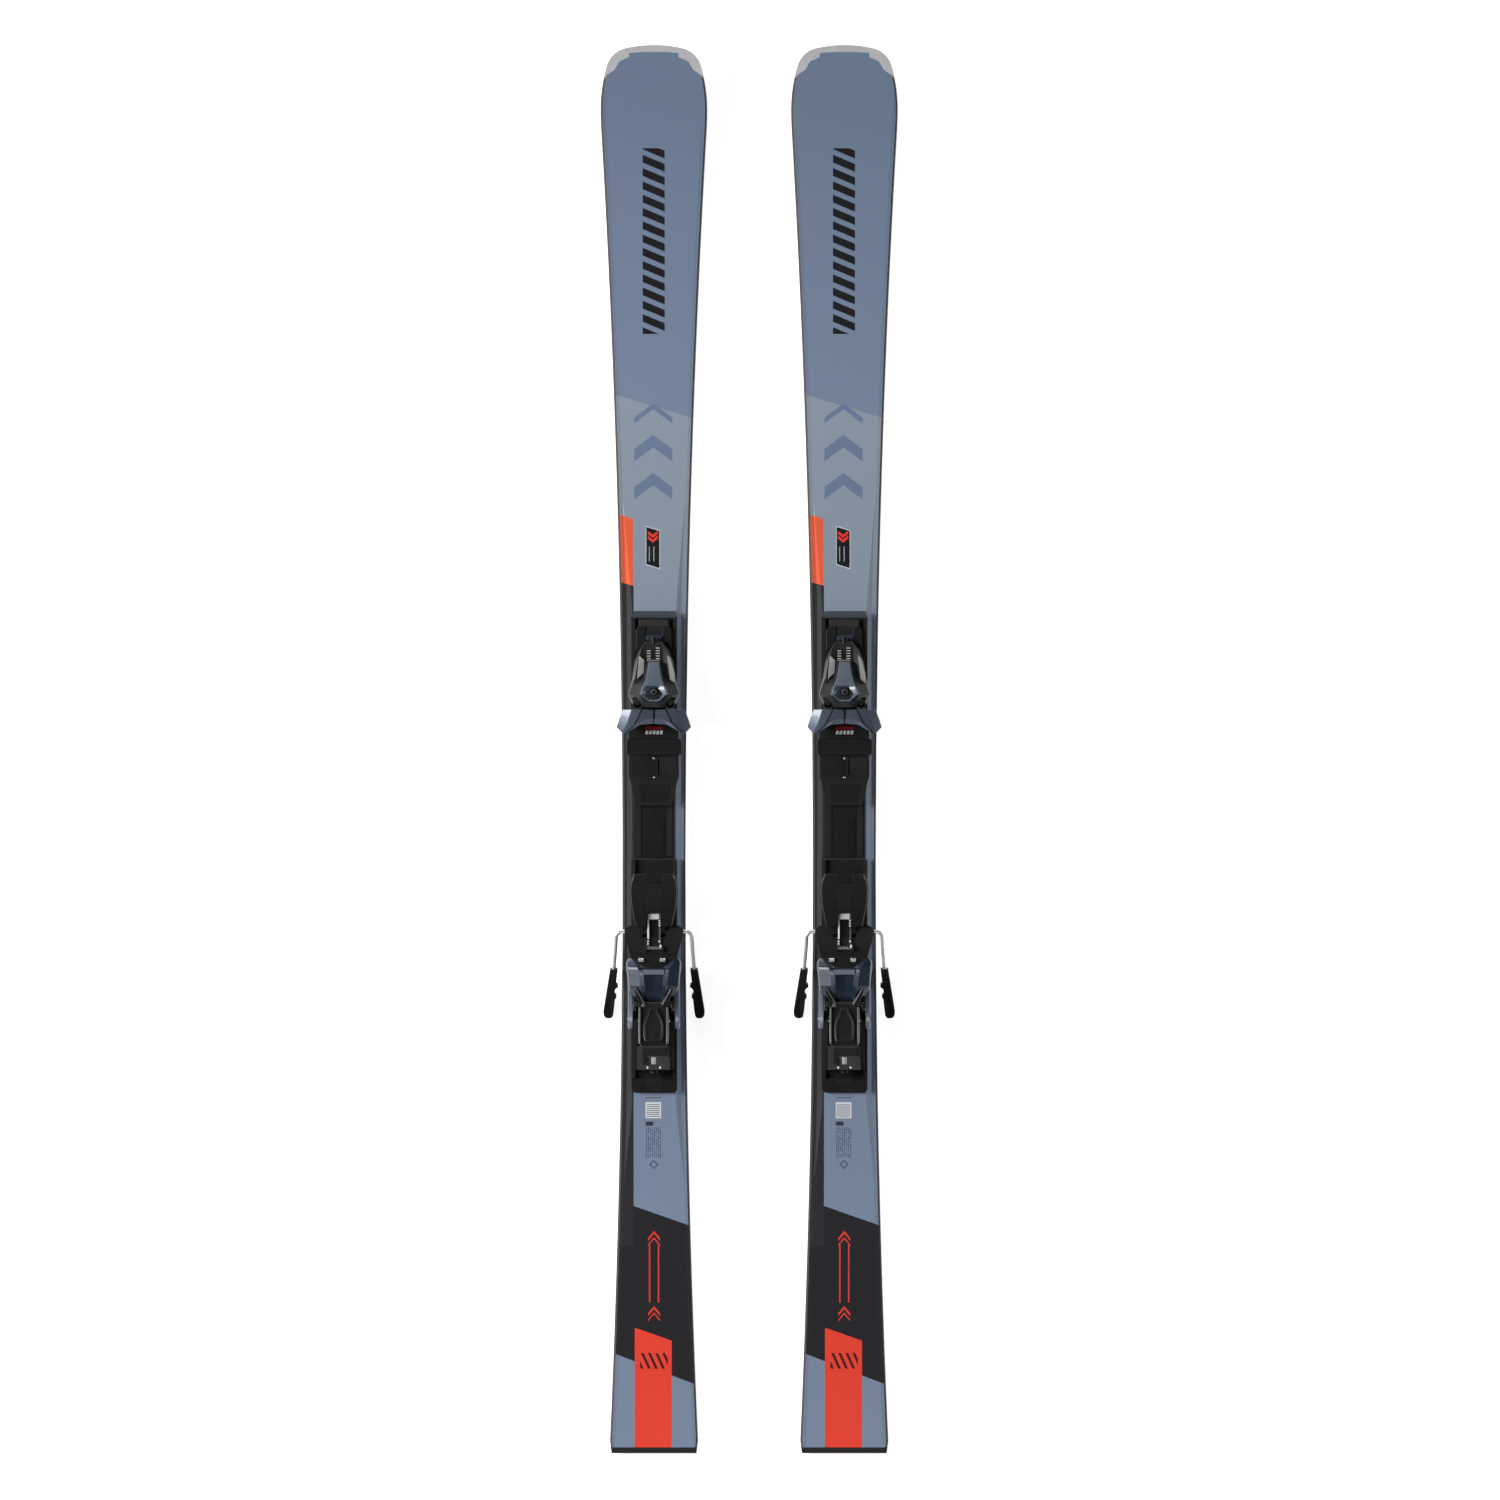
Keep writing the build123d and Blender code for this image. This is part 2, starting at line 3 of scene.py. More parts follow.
import bmesh
import bpy
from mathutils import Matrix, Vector


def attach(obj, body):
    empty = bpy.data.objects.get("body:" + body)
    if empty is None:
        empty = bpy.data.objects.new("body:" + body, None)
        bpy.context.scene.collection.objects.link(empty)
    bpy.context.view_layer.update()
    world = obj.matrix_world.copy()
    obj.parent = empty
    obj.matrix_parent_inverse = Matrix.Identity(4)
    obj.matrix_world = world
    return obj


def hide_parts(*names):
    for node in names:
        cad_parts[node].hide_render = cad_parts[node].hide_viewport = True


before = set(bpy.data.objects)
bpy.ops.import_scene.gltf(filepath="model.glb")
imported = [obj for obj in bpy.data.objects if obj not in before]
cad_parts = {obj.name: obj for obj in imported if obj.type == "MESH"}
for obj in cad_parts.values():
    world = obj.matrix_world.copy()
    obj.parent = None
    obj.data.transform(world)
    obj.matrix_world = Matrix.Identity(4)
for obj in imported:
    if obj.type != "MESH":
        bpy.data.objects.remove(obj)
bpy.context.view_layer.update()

MM = 0.001
SKI_X = 0.115  # from the middle of the pair to the middle of each ski, in metres
SIDES = {"left": -1, "right": 1}

# axes that pieces turn about, as (y, z) in millimetres
BRAKE_AXIS = (-219, 35.2)
BRAKE_DROOP = 16.12  # degrees, from level down to where the brake rests
HEEL_AXLE = (-325, 50)


# ---------------------------------------------------------------- shader maths


def operator(operation, turned=False):
    """A Python operator that adds one Math node."""

    def apply(self, other):
        pair = (other, self) if turned else (self, other)
        return self.finish.maths(operation, *pair)

    return apply


class Term:
    """A number that varies over a surface. Python's operators on it add Math nodes."""

    def __init__(self, finish, socket):
        self.finish = finish
        self.socket = socket

    __add__ = __radd__ = operator("ADD")
    __mul__ = __rmul__ = __and__ = operator("MULTIPLY")
    __sub__ = operator("SUBTRACT")
    __rsub__ = operator("SUBTRACT", True)
    __truediv__ = operator("DIVIDE")
    __rtruediv__ = operator("DIVIDE", True)
    __mod__ = operator("FLOORED_MODULO")
    __gt__ = operator("GREATER_THAN")
    __lt__ = operator("LESS_THAN")
    __or__ = operator("MAXIMUM")

    def __abs__(self):
        return self.finish.maths("ABSOLUTE", self)


class Finish:
    """A material that is built node by node around one Principled shader."""

    def __init__(self, name, **fixed):
        self.material = bpy.data.materials.new(name)
        self.material.use_nodes = True
        self.nodes = self.material.node_tree.nodes
        self.links = self.material.node_tree.links
        self.shader = self.nodes["Principled BSDF"]
        for socket, value in fixed.items():
            socket = socket.replace("_", " ").title().replace("Ior", "IOR")
            self.feed(self.shader.inputs[socket], value)

    def feed(self, socket, value):
        if isinstance(value, Term):
            self.links.new(value.socket, socket)
        elif value is not None:
            socket.default_value = value

    def node(self, kind, settings=(), inputs=(), output=0):
        """Adds any node: its settings first, then the values or links of its sockets."""
        made = self.nodes.new("ShaderNode" + kind)
        for key, value in dict(settings).items():
            setattr(made, key, value)
        for key, value in dict(inputs).items():
            self.feed(made.inputs[key], value)
        return Term(self, made.outputs[output])

    def maths(self, operation, *values):
        return self.node("Math", {"operation": operation}, dict(enumerate(values)))

    def mix(self, share, low, high):
        """The colour low where share is 0, and high where it is 1."""
        return self.node("Mix", {"data_type": "RGBA"}, {0: share, 6: low, 7: high}, 2)

    def place(self):
        """The point on the surface, in millimetres: across from its own ski's middle, and along."""
        point = self.node("TexCoord", output="Object")
        x, y = (self.node("SeparateXYZ", (), {0: point}, axis) for axis in "XY")
        far = abs(x) > SKI_X / 2
        x = x - self.maths("SIGN", x) * SKI_X * far
        return x / MM, y / MM

    def noise(self, size, detail=3.0, stretch=(1, 1, 1)):
        """Smooth noise from 0 to 1, with features of about size millimetres divided by stretch."""
        point = self.node("TexCoord", output="Object")
        scale = [s / (size * MM) for s in stretch]
        point = self.node("VectorMath", {"operation": "MULTIPLY"}, {0: point, 1: scale})
        return self.node("TexNoise", (), {"Vector": point, "Scale": 1.0, "Detail": detail})

    def ramp(self, value, start, end):
        """0 where value is start or less, and 1 where it is end or more."""
        return self.node("MapRange", (), {0: value, 1: start, 2: end, 3: 0.0, 4: 1.0})

    def paint(self, colour=None, roughness=None, metallic=None, coat=None):
        for socket, value in (
            ("Base Color", colour),
            ("Roughness", roughness),
            ("Metallic", metallic),
            ("Coat Weight", coat),
        ):
            self.feed(self.shader.inputs[socket], value)
        return self

    def bump(self, height, depth, strength=1.0):
        """Raises the surface by height, from 0 to 1, times depth in millimetres."""
        normal = self.node("Bump", (), {"Strength": strength, "Distance": depth * MM, "Height": height})
        self.feed(self.shader.inputs["Normal"], normal)
        return self


def tone(red, green, blue):
    """A display colour, from 0 to 255, as a linear surface colour."""

    def linear(level):
        level /= 255
        return level / 12.92 if level < 0.04045 else ((level + 0.055) / 1.055) ** 2.4

    return tuple(linear(level) for level in (red, green, blue)) + (1.0,)


def scaled(colour, factor, lift=0.0):
    """The colour made lighter or darker by a factor."""
    return tuple(min(1.0, level * factor + lift) for level in colour[:3]) + (1.0,)


# ---------------------------------------------------------------- finishes


def moulded(name, colour, roughness=0.42, grain=0.5, depth=0.03, specular=0.16):
    """Moulded plastic: a fine spark-eroded grain, cloudy gloss, and convex edges painted lighter as a
    painted highlight.
    """
    f = Finish(name, specular_ior_level=specular)
    fine = f.noise(grain, 4)
    cloud = f.noise(14, 3)
    # painted highlight: convex edges, found by their pointiness, are painted lighter
    edge_highlight = f.ramp(f.node("NewGeometry", output="Pointiness"), 0.52, 0.62)
    shade = f.mix(cloud, scaled(colour, 0.8), scaled(colour, 1.2))
    shade = f.mix(edge_highlight * fine * 0.5, shade, scaled(colour, 2, 0.02))
    f.paint(shade, fine * 0.12 + cloud * 0.1 + (roughness - 0.11))
    return f.bump(fine, depth)


def gloss_shell(name, colour, flake, gloss=0.6):
    """Glossy moulded shell in slate blue, with a faint metallic fleck under a clear skin."""
    f = Finish(name, specular_ior_level=0.5, coat_roughness=0.06)
    fleck = f.noise(0.35, 2) > 0.66
    cloud = f.noise(22, 3)
    ripple = f.noise(7, 2)
    shade = f.mix(cloud, scaled(colour, 0.85), scaled(colour, 1.15))
    shade = f.mix(fleck * 0.08, shade, flake)
    f.paint(shade, ripple * 0.06 + 0.27, metallic=fleck * 0.2 + 0.2, coat=cloud * 0.2 + gloss)
    return f.bump(ripple, 0.02)


def steel(name, colour, roughness, stretch=(1, 1, 1), metal=1.0):
    """Bright or brushed steel: fine drawn lines, cloudy polish and a few darker specks."""
    f = Finish(name)
    drawn = f.noise(0.5, 4, stretch)
    cloud = f.noise(9, 3)
    speck = f.noise(1.6, 5) > 0.68
    shade = f.mix(cloud, scaled(colour, 0.8), scaled(colour, 1.15))
    shade = f.mix(speck * 0.4, shade, (0.12, 0.11, 0.1, 1))
    f.paint(shade, drawn * 0.16 + cloud * 0.1 + (roughness - 0.13), metallic=metal - speck * 0.3)
    return f.bump(drawn, 0.01)


def running_base():
    """Sintered base: near-black with fine lengthwise grinding structure."""
    f = Finish("base", specular_ior_level=0.35)
    x, y = f.place()
    groove = abs((x + y * 0.02) % 0.9 - 0.45) / 0.45
    soot = f.noise(30, 4, (1, 0.2, 1))
    f.paint(f.mix(soot, (0.012, 0.012, 0.014, 1), (0.05, 0.05, 0.055, 1)), groove * 0.15 + 0.38)
    return f.bump(groove, 0.03)


def wood_core():
    """Core of glued wood strips, which only shows at cut ends."""
    f = Finish("core", specular_ior_level=0.3)
    x, _ = f.place()
    strip = (x % 9) < 0.35
    year = f.noise(5, 5, (1, 0.05, 1))
    wood = f.mix(year, (0.42, 0.27, 0.14, 1), (0.68, 0.5, 0.3, 1))
    f.paint(f.mix(strip, wood, (0.2, 0.11, 0.05, 1)), year * 0.2 + 0.55)
    return f.bump(year, 0.05)


def dash_columns(f, x, y):
    """Columns of short dashes of uneven length."""
    left_edge, pitch = -9.7, 2.4
    lane = (x - left_edge) / pitch
    row = f.node("CombineXYZ", (), {0: f.maths("FLOOR", lane) * 7.3, 1: y * 0.55, 2: 0.0})
    chance = f.node("TexNoise", (), {"Vector": row, "Scale": 1.0, "Detail": 1.0})
    return (lane % 1 < 0.5) & (chance > 0.45)


def ski_print(f):
    """The printed top sheet: its colour, its edge hatch, its black stripe and its orange patch."""
    x, y = f.place()
    waist_y, waist_half, sidecut_radius = -146, 38, 15600
    black = tone(40, 39, 43)

    def between(value, low, high):
        return (value > low) & (value < high)

    def box(x0, x1, y0, y1):
        return between(x, x0, x1) & between(y, y0, y1)

    def slanted(slope):
        """Distance along the ski, counted on lines that slope across it."""
        return y + x * slope

    def arrowed(slope, middle=0.0):
        """Distance along the ski, counted on lines that fold back at the middle."""
        return y + abs(x - middle) * slope

    # ground colours, from the tip down
    sheet = f.mix(f.ramp(y, 420, 790), tone(121, 136, 160), tone(109, 125, 148))
    pale = f.mix(f.ramp(y, 150, 420), tone(136, 148, 164), tone(142, 154, 168))
    sheet = f.mix(slanted(0.3026) < 415.4, sheet, pale)
    sheet = f.mix(y < -100, sheet, tone(127, 142, 165))

    # soft chevrons below the tip's dark field
    rise = arrowed(0.75, -1)
    chevron = (((rise + 2) % 46) < 15) & between(rise, 318, 419)
    sheet = f.mix(between(x, -24, 22) & chevron, sheet, tone(108, 124, 152))

    # slanted bars down the shovel
    bars = (slanted(0.42) % 16) < 9.4
    sheet = f.mix(box(-13.7, 12.9, 503, 727) & bars, sheet, tone(28, 28, 32))

    # orange patch and black stripe along the left edge, and the black field before the tail
    patch = (x < -25.3) & between(slanted(0.3), 190.9, 271.9)
    sheet = f.mix(patch, sheet, tone(226, 96, 62))
    stripe = (x < -24.6) & between(y, -600, 400) & (slanted(0.3) < 190.9)
    tail_field = (slanted(0.352) < -559.7) & (slanted(0.381) > -748.0)
    sheet = f.mix(stripe | tail_field, sheet, black)

    # small label plate in front of the binding
    plate = between(slanted(0.312), 220.6, 268) & between(x, -10, 7.3)
    inside = between(slanted(0.312), 221.8, 266.8) & between(x, -9.2, 6.5)
    sheet = f.mix(plate, sheet, tone(200, 204, 210))
    sheet = f.mix(inside, sheet, tone(26, 26, 30))
    fall = arrowed(-0.8, -1.5)
    arrow = between(fall, 250.5, 254.6) | between(fall, 256.4, 260.2)
    sheet = f.mix(box(-7.6, 4.8, 249, 264) & arrow, sheet, tone(226, 60, 46))
    rule = box(-6.2, -5.2, 228, 246) | box(-0.8, 0.3, 228, 246)
    sheet = f.mix(rule, sheet, tone(160, 164, 170))

    # tail: red field, dark bars on it, and thin red lines in the black
    field = between(x, -23.4, 21.4) & (slanted(0.352) < -706.6) & (y > -843)
    sheet = f.mix(field, sheet, tone(238, 72, 54))
    mark = box(-17, 16.6, -748, -729) & (((x + y * 0.45) % 8.6) < 3.4)
    sheet = f.mix(mark, sheet, tone(72, 30, 32))
    lines = (abs(abs(x) - 5.4) < 0.9) & between(y, -668, -598)
    for point, half in ((583, 1.8), (590, 1.2), (674, 1.8), (681, 1.2)):
        lines = lines | (abs(arrowed(1.2) + point) < half)
    sheet = f.mix(lines & (abs(x) < 7.2), sheet, tone(226, 66, 50))

    # data patch behind the binding: a dotted square, two bars, dashed columns and a diamond
    dots = (abs(x % 2.4 - 1.2) < 0.75) & (abs(y % 2.4 - 1.2) < 0.75)
    sheet = f.mix(box(-10.3, 8.5, -445, -425.6), sheet, tone(228, 231, 235))
    sheet = f.mix(box(-8.9, 7.1, -443.6, -427) & dots, sheet, tone(60, 66, 78))
    sheet = f.mix(box(-10, 9, -420.9, -419.6), sheet, tone(92, 104, 124))
    sheet = f.mix(box(-10, -1, -454, -449), sheet, tone(52, 58, 70))
    sheet = f.mix(box(-9.7, 9.3, -492.6, -456) & dash_columns(f, x, y), sheet, tone(80, 91, 111))
    diamond = between(abs(x + 0.4) + abs(y + 501), 3.6, 5.8)
    sheet = f.mix(diamond, sheet, tone(84, 95, 114))

    # fine diagonal hatch along both edges
    half_width = (y - waist_y) * (y - waist_y) / (2 * sidecut_radius) + waist_half
    margin = f.noise(90, 1, (1, 0.4, 1)) * 3 + 5
    hatch = (((y * 0.8 + abs(x)) % 1.2) < 0.5) & (half_width - abs(x) < margin)
    sheet = f.mix(hatch * 0.35, sheet, tone(58, 60, 66))
    return sheet, hatch, stripe, patch


def topsheet():
    """Printed gloss sheet with a faint weave under the lacquer."""
    f = Finish("topsheet", specular_ior_level=0.25, coat_roughness=0.08)
    sheet, hatch, stripe, patch = ski_print(f)
    weave = f.noise(0.9, 3, (1, 0.3, 1))
    cloud = f.noise(60, 3, (1, 0.3, 1))
    orange_peel = f.noise(2.2, 2)
    sheet = f.mix(weave * 0.12, sheet, tone(20, 24, 30))
    rough = cloud * 0.08 + weave * 0.06 + stripe * 0.25 + patch * 0.45 + 0.3
    f.paint(sheet, rough, coat=(cloud * 0.2 + 0.15) * (1 - (stripe | patch)))
    return f.bump(orange_peel * 0.4 + hatch * 0.6, 0.015)


def sidewall():
    """Satin sidewall with a brown-grey dashed print on its bevel."""
    f = Finish("sidewalls", specular_ior_level=0.4)
    _, y = f.place()
    dash = (y % 2.4) < 1.4
    sawn = f.noise(0.6, 4, (1, 0.1, 1))
    body = f.mix(sawn, tone(62, 58, 60), tone(88, 82, 82))
    body = f.mix(dash & 0.5, body, tone(140, 130, 128))
    f.paint(body, sawn * 0.2 + 0.3)
    return f.bump(sawn, 0.03)


FINISHES = {
    "base": running_base(),
    "core": wood_core(),
    "steel_edges": steel("steel_edges", (0.55, 0.55, 0.56), 0.3, (1, 0.05, 1)),
    "sidewalls": sidewall(),
    "topsheet": topsheet(),
    "tip_guard": moulded("tip_guard", tone(162, 162, 165), 0.35, 0.7),
    "tail_guard": moulded("tail_guard", tone(30, 26, 27), 0.5),
    "tracks": moulded("tracks", tone(25, 25, 26), 0.45, 0.6),
    "track_cap": gloss_shell("track_cap", tone(40, 48, 53), tone(110, 130, 140)),
    "track_screws": steel("track_screws", (0.05, 0.05, 0.05), 0.4),
    "mid_band": moulded("mid_band", tone(25, 25, 26), 0.5, 0.6),
    "toe_carriage": moulded("toe_carriage", tone(25, 25, 26), 0.45, 0.6),
    "toe_housing": moulded("toe_housing", tone(40, 41, 43), 0.32, 0.5, 0.015),
    "toe_cover": gloss_shell("toe_cover", tone(88, 97, 110), tone(130, 140, 155), 0.3),
    "toe_wing": gloss_shell("toe_wing", tone(70, 80, 95), tone(130, 140, 155), 0.3),
    "toe_spring": steel("toe_spring", (0.1, 0.1, 0.1), 0.4),
    "toe_release_screw": steel("toe_release_screw", (0.02, 0.02, 0.02), 0.5),
    "toe_fasteners": steel("toe_fasteners", (0.06, 0.06, 0.06), 0.4),
    "afd_slider": moulded("afd_slider", tone(25, 25, 26), 0.42, 0.8),
    "heel_carriage": moulded("heel_carriage", tone(25, 25, 26), 0.45, 0.6),
    "heel_spring": steel("heel_spring", (0.1, 0.1, 0.1), 0.4),
    "heel_axle": steel("heel_axle", (0.6, 0.6, 0.6), 0.28),
    "heel_housing": gloss_shell("heel_housing", tone(30, 42, 57), tone(130, 140, 155), 0.08),
    "heel_lever": moulded("heel_lever", tone(27, 27, 28), 0.3, 0.6, 0.01, 0.4),
    "heel_release_screw": steel("heel_release_screw", (0.02, 0.02, 0.02), 0.5),
    "length_latch": steel("length_latch", (0.3, 0.3, 0.31), 0.25, metal=0.8),
    "brake_pedal": moulded("brake_pedal", tone(28, 28, 29), 0.5, 0.8),
    "brake_wires": steel("brake_wires", (0.8, 0.8, 0.81), 0.24, metal=0.55),
    "brake_grips": moulded("brake_grips", tone(20, 20, 20), 0.5, 0.8),
    "white_marks": moulded("white_marks", tone(215, 212, 212), 0.4, 0.6),
    "pale_marks": moulded("pale_marks", tone(160, 160, 155), 0.4, 0.6),
    "red_marks": moulded("red_marks", tone(140, 30, 34), 0.4, 0.6),
    # lit and shaded copies of one inlay grey: painted light for the left inlay, painted shade for the right
    "inlay_lit_pale": moulded("inlay_lit_pale", tone(196, 196, 192), 0.34, 0.6),
    "inlay_shaded_grey": moulded("inlay_shaded_grey", tone(140, 140, 140), 0.34, 0.6),
    "nose_grey": moulded("nose_grey", tone(40, 40, 40), 0.45, 0.6),
    # painted light: a lighter grey than the carriage, for the skin over the heel's rear
    "cover_lit_grey": moulded("cover_lit_grey", tone(54, 54, 54), 0.45, 0.6),
    # a lighter grey; on the lever's rims and arm edges it is partly a painted highlight
    "rim_grey": moulded("rim_grey", tone(84, 84, 82), 0.28, 0.4, 0.01, 0.5),
    "basin_grey": moulded("basin_grey", tone(27, 27, 27), 0.4, 0.5, 0.02, 0.25),
    "dark_seam": moulded("dark_seam", tone(8, 8, 9), 0.6, 0.5, 0.01, 0.1),
    # painted shade for the sunken dish around the toe cover's screw
    "dish_shade_blue": moulded("dish_shade_blue", tone(26, 38, 52), 0.45, 0.4, 0.01, 0.3),
    # painted light: a much paler blue than the heel housing, for its arms
    "arm_lit_blue": gloss_shell("arm_lit_blue", tone(124, 133, 146), tone(150, 158, 170), 0.2),
    # painted highlight: a pale blue for the lip across the heel cup
    "lip_highlight_blue": gloss_shell("lip_highlight_blue", tone(112, 124, 140), tone(150, 158, 170), 0.3),
    "tab_blue": gloss_shell("tab_blue", tone(46, 60, 78), tone(110, 130, 150), 0.2),
    "dome_steel": steel("dome_steel", (0.8, 0.8, 0.81), 0.26, metal=0.75),
    "bright_steel": steel("bright_steel", (0.88, 0.88, 0.89), 0.3, metal=0.15),
}
FINISHES["toe_wing_left"] = FINISHES["toe_wing_right"] = FINISHES["toe_wing"]


# ---------------------------------------------------------------- CAD nodes that stay


def dress_node(name, obj):
    """Gives a CAD node the finish of its name, which follows left_ or right_."""
    finish = FINISHES[name.split("_", 1)[1]]
    obj.data.materials.clear()
    obj.data.materials.append(finish.material)


for name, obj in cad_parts.items():
    dress_node(name, obj)


# ---------------------------------------------------------------- building pieces


class Shape:
    """A mesh under construction, in millimetres about its own ski's middle line."""

    def __init__(self):
        self.mesh = bmesh.new()

    def loft(self, sections):
        """Skins sections that have equal numbers of points, and closes both ends."""
        rings = [[self.mesh.verts.new(p) for p in section] for section in sections]
        count = len(rings[0])
        for low, high in zip(rings, rings[1:]):
            for n in range(count):
                after = (n + 1) % count
                self.mesh.faces.new((low[n], low[after], high[after], high[n]))
        self.mesh.faces.new(reversed(rings[0]))
        self.mesh.faces.new(rings[-1])
        return self

    def prism(self, outline, low, high):
        """An outline seen from above, in (x, y), from one height to another."""
        return self.loft([[(x, y, z) for x, y in outline] for z in (low, high)])

    def across(self, outline, x0, x1):
        """A side outline in (y, z), run across the ski."""
        return self.loft([[(x, y, z) for y, z in outline] for x in (x0, x1)])

    def block(self, x0, x1, y0, y1, z0, z1):
        return self.prism([(x0, y0), (x1, y0), (x1, y1), (x0, y1)], z0, z1)

    def turned(self, start, end, profile, sides=28):
        """A round piece from start to end: profile gives (share of the way, radius)."""
        start, end = Vector(start), Vector(end)
        axis = end - start
        side = axis.orthogonal().normalized()
        other = axis.normalized().cross(side)
        angles = [2 * math.pi * n / sides for n in range(sides)]
        spokes = [side * math.cos(a) + other * math.sin(a) for a in angles]
        return self.loft([[start + axis * t + spoke * radius for spoke in spokes] for t, radius in profile])

    def rod(self, start, end, radius, sides=28):
        return self.turned(start, end, [(0, radius), (1, radius)], sides)

    def mirrored(self):
        """Adds the mirror image across the ski's middle."""
        copy = bmesh.ops.duplicate(self.mesh, geom=self.mesh.verts[:] + self.mesh.faces[:])["geom"]
        verts = [g for g in copy if isinstance(g, bmesh.types.BMVert)]
        faces = [g for g in copy if isinstance(g, bmesh.types.BMFace)]
        for v in verts:
            v.co.x = -v.co.x
        bmesh.ops.reverse_faces(self.mesh, faces=faces)
        return self

    def flipped(self):
        """The mirror image alone."""
        for v in self.mesh.verts:
            v.co.x = -v.co.x
        return self

    def finished(self, name):
        """The mesh in metres, which uses this shape up."""
        bmesh.ops.recalc_face_normals(self.mesh, faces=self.mesh.faces[:])
        bmesh.ops.scale(self.mesh, vec=(MM, MM, MM), verts=self.mesh.verts[:])
        data = bpy.data.meshes.new(name)
        self.mesh.to_mesh(data)
        self.mesh.free()
        for face in data.polygons:
            face.use_smooth = True
        return data

    def within(self, keeper):
        """The part of this shape inside the keeper, as a new shape."""
        return self.without(keeper, "INTERSECT")

    def without(self, cutter, operation="DIFFERENCE"):
        """This shape less the cutter, as a new shape."""
        pair = [bpy.data.objects.new("cutting", shape.finished("cutting")) for shape in (self, cutter)]
        for obj in pair:
            bpy.context.scene.collection.objects.link(obj)
        cut = pair[0].modifiers.new("cut", "BOOLEAN")
        cut.object = pair[1]
        cut.operation = operation
        cut.solver = "EXACT"
        cut.use_self = True
        shape = Shape()
        done = pair[0].evaluated_get(bpy.context.evaluated_depsgraph_get())
        shape.mesh.from_mesh(done.to_mesh())
        bmesh.ops.scale(shape.mesh, vec=(1 / MM, 1 / MM, 1 / MM), verts=shape.mesh.verts[:])
        for obj in pair:
            bpy.data.objects.remove(obj)
        return shape


def bar_end(x0, x1, y, low, high):
    """The square end of a bar that runs along the ski."""
    return [(x0, y, low), (x1, y, low), (x1, y, high), (x0, y, high)]


def half_ring(y, half):
    """A whole cross-section at y from its right half, listed from the outer bottom to the middle."""
    right = [(x, y, z) for x, z in half]
    left = [(-x, y, z) for x, z in half if x > 0]
    return right + left[::-1]


def round_edges(obj, width, angle):
    """Rounds every edge that turns by more than the angle, and keeps the faces between them flat."""
    bevel = obj.modifiers.new("edges", "BEVEL")
    bevel.width = width * MM
    bevel.segments = 3
    bevel.limit_method = "ANGLE"
    bevel.angle_limit = math.radians(angle)
    bevel.harden_normals = True
    bevel.miter_outer = "MITER_ARC"
    weighted = obj.modifiers.new("normals", "WEIGHTED_NORMAL")
    weighted.keep_sharp = True
    weighted.weight = 80


def on_both_skis(name, shape, body, slot, nodes=(), edge=0.4, finish=None, angle=28):
    """Places one piece on each ski, riding on that ski's body and standing for its CAD nodes."""
    data = shape.finished(name)
    data.materials.append(FINISHES[finish or slot].material)
    for side, sign in SIDES.items():
        obj = bpy.data.objects.new(f"{side}_{name}", data)
        obj.location = (sign * SKI_X, 0, 0)
        bpy.context.scene.collection.objects.link(obj)
        if edge:
            round_edges(obj, edge, angle)
        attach(obj, f"{side}_{body}")
        if nodes:
            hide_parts(*[f"{side}_{n}" for n in nodes])


# ---------------------------------------------------------------- toe piece


def toe_housing():
    """The toe tower: low in front, with shoulders around the cover and a slot for each wing's lug."""
    sections = [
        (131, [(10, 34.2), (10, 40), (9.4, 43.5), (8.6, 44), (8, 44), (6, 44.2), (0, 44.4)]),
        (127, [(13.5, 34.2), (13.5, 41), (12, 46), (9.7, 46), (9.4, 45), (8, 46), (0, 46.4)]),
        (121, [(17.8, 34.2), (17.8, 43), (15.4, 50), (11.6, 48.5), (10, 47), (9, 47), (0, 47.2)]),
        (107.6, [(23, 34.2), (23, 47), (19.2, 56), (12.4, 52), (10.4, 50.5), (9.4, 48), (0, 48)]),
        (106.6, [(23.3, 34.2), (23.3, 47.5), (19.4, 56.5), (12.4, 52.5), (9.6, 52.5), (7.6, 59), (0, 59.6)]),
        (87, [(26, 34.2), (26, 51), (22.6, 62), (14.6, 58), (12.4, 59.5), (10.4, 68), (0, 69.2)]),
        (80, [(28, 34.2), (28, 50), (26, 59), (20, 63.5), (14.4, 68.5), (12.4, 72), (0, 73)]),
        (66.6, [(30.8, 34.2), (31, 51), (30.4, 57), (24, 67), (18.4, 74.6), (16.2, 78), (0, 78.4)]),
        (57, [(27.4, 34.2), (27.4, 51), (25.6, 59), (21, 67), (16.4, 73.4), (12, 77), (0, 77.6)]),
        (51.2, [(22.4, 34.2), (22.4, 51), (21, 59), (18.4, 65), (14.4, 69.4), (10, 72.6), (0, 73.2)]),
    ]
    shape = Shape().loft([half_ring(y, half) for y, half in sections])
    slots = Shape().block(8, 40, 40, 63.5, 61.6, 70.4).mirrored()
    shape = shape.without(slots)
    spring_room, screw_room, step = 7.2, 3.1, 0.64
    bore = [(0, spring_room), (step, spring_room), (step + 0.00001, screw_room), (1, screw_room)]
    shape = shape.without(Shape().turned((0, 58, 43), (0, 134, 43), bore))
    on_both_skis("toe_tower", shape, "toe", "toe_housing", ["toe_housing"], 0.6)


def indicator_posts():
    """Two stepped posts that show the release setting, joined at their rear."""
    shape = Shape()
    rear = 109.6
    for x0, x1, front, steps in ((-8.6, -3.8, 122, 4), (2.4, 7.2, 125.6, 5)):
        pitch = (front - rear) / steps
        for n in range(steps):
            y = rear + n * pitch
            top = 54.5 - n * 1.1
            shape.prism([(x0, y), (x1, y), (x1, y + pitch * 0.4), (x0, y + pitch * 0.4)], 46, top)
    shape.block(-8.6, 7.2, 107.9, 108.6, 46, 53.4)
    on_both_skis("toe_indicator_posts", shape, "toe", "toe_housing", (), 0.2, finish="pale_marks")


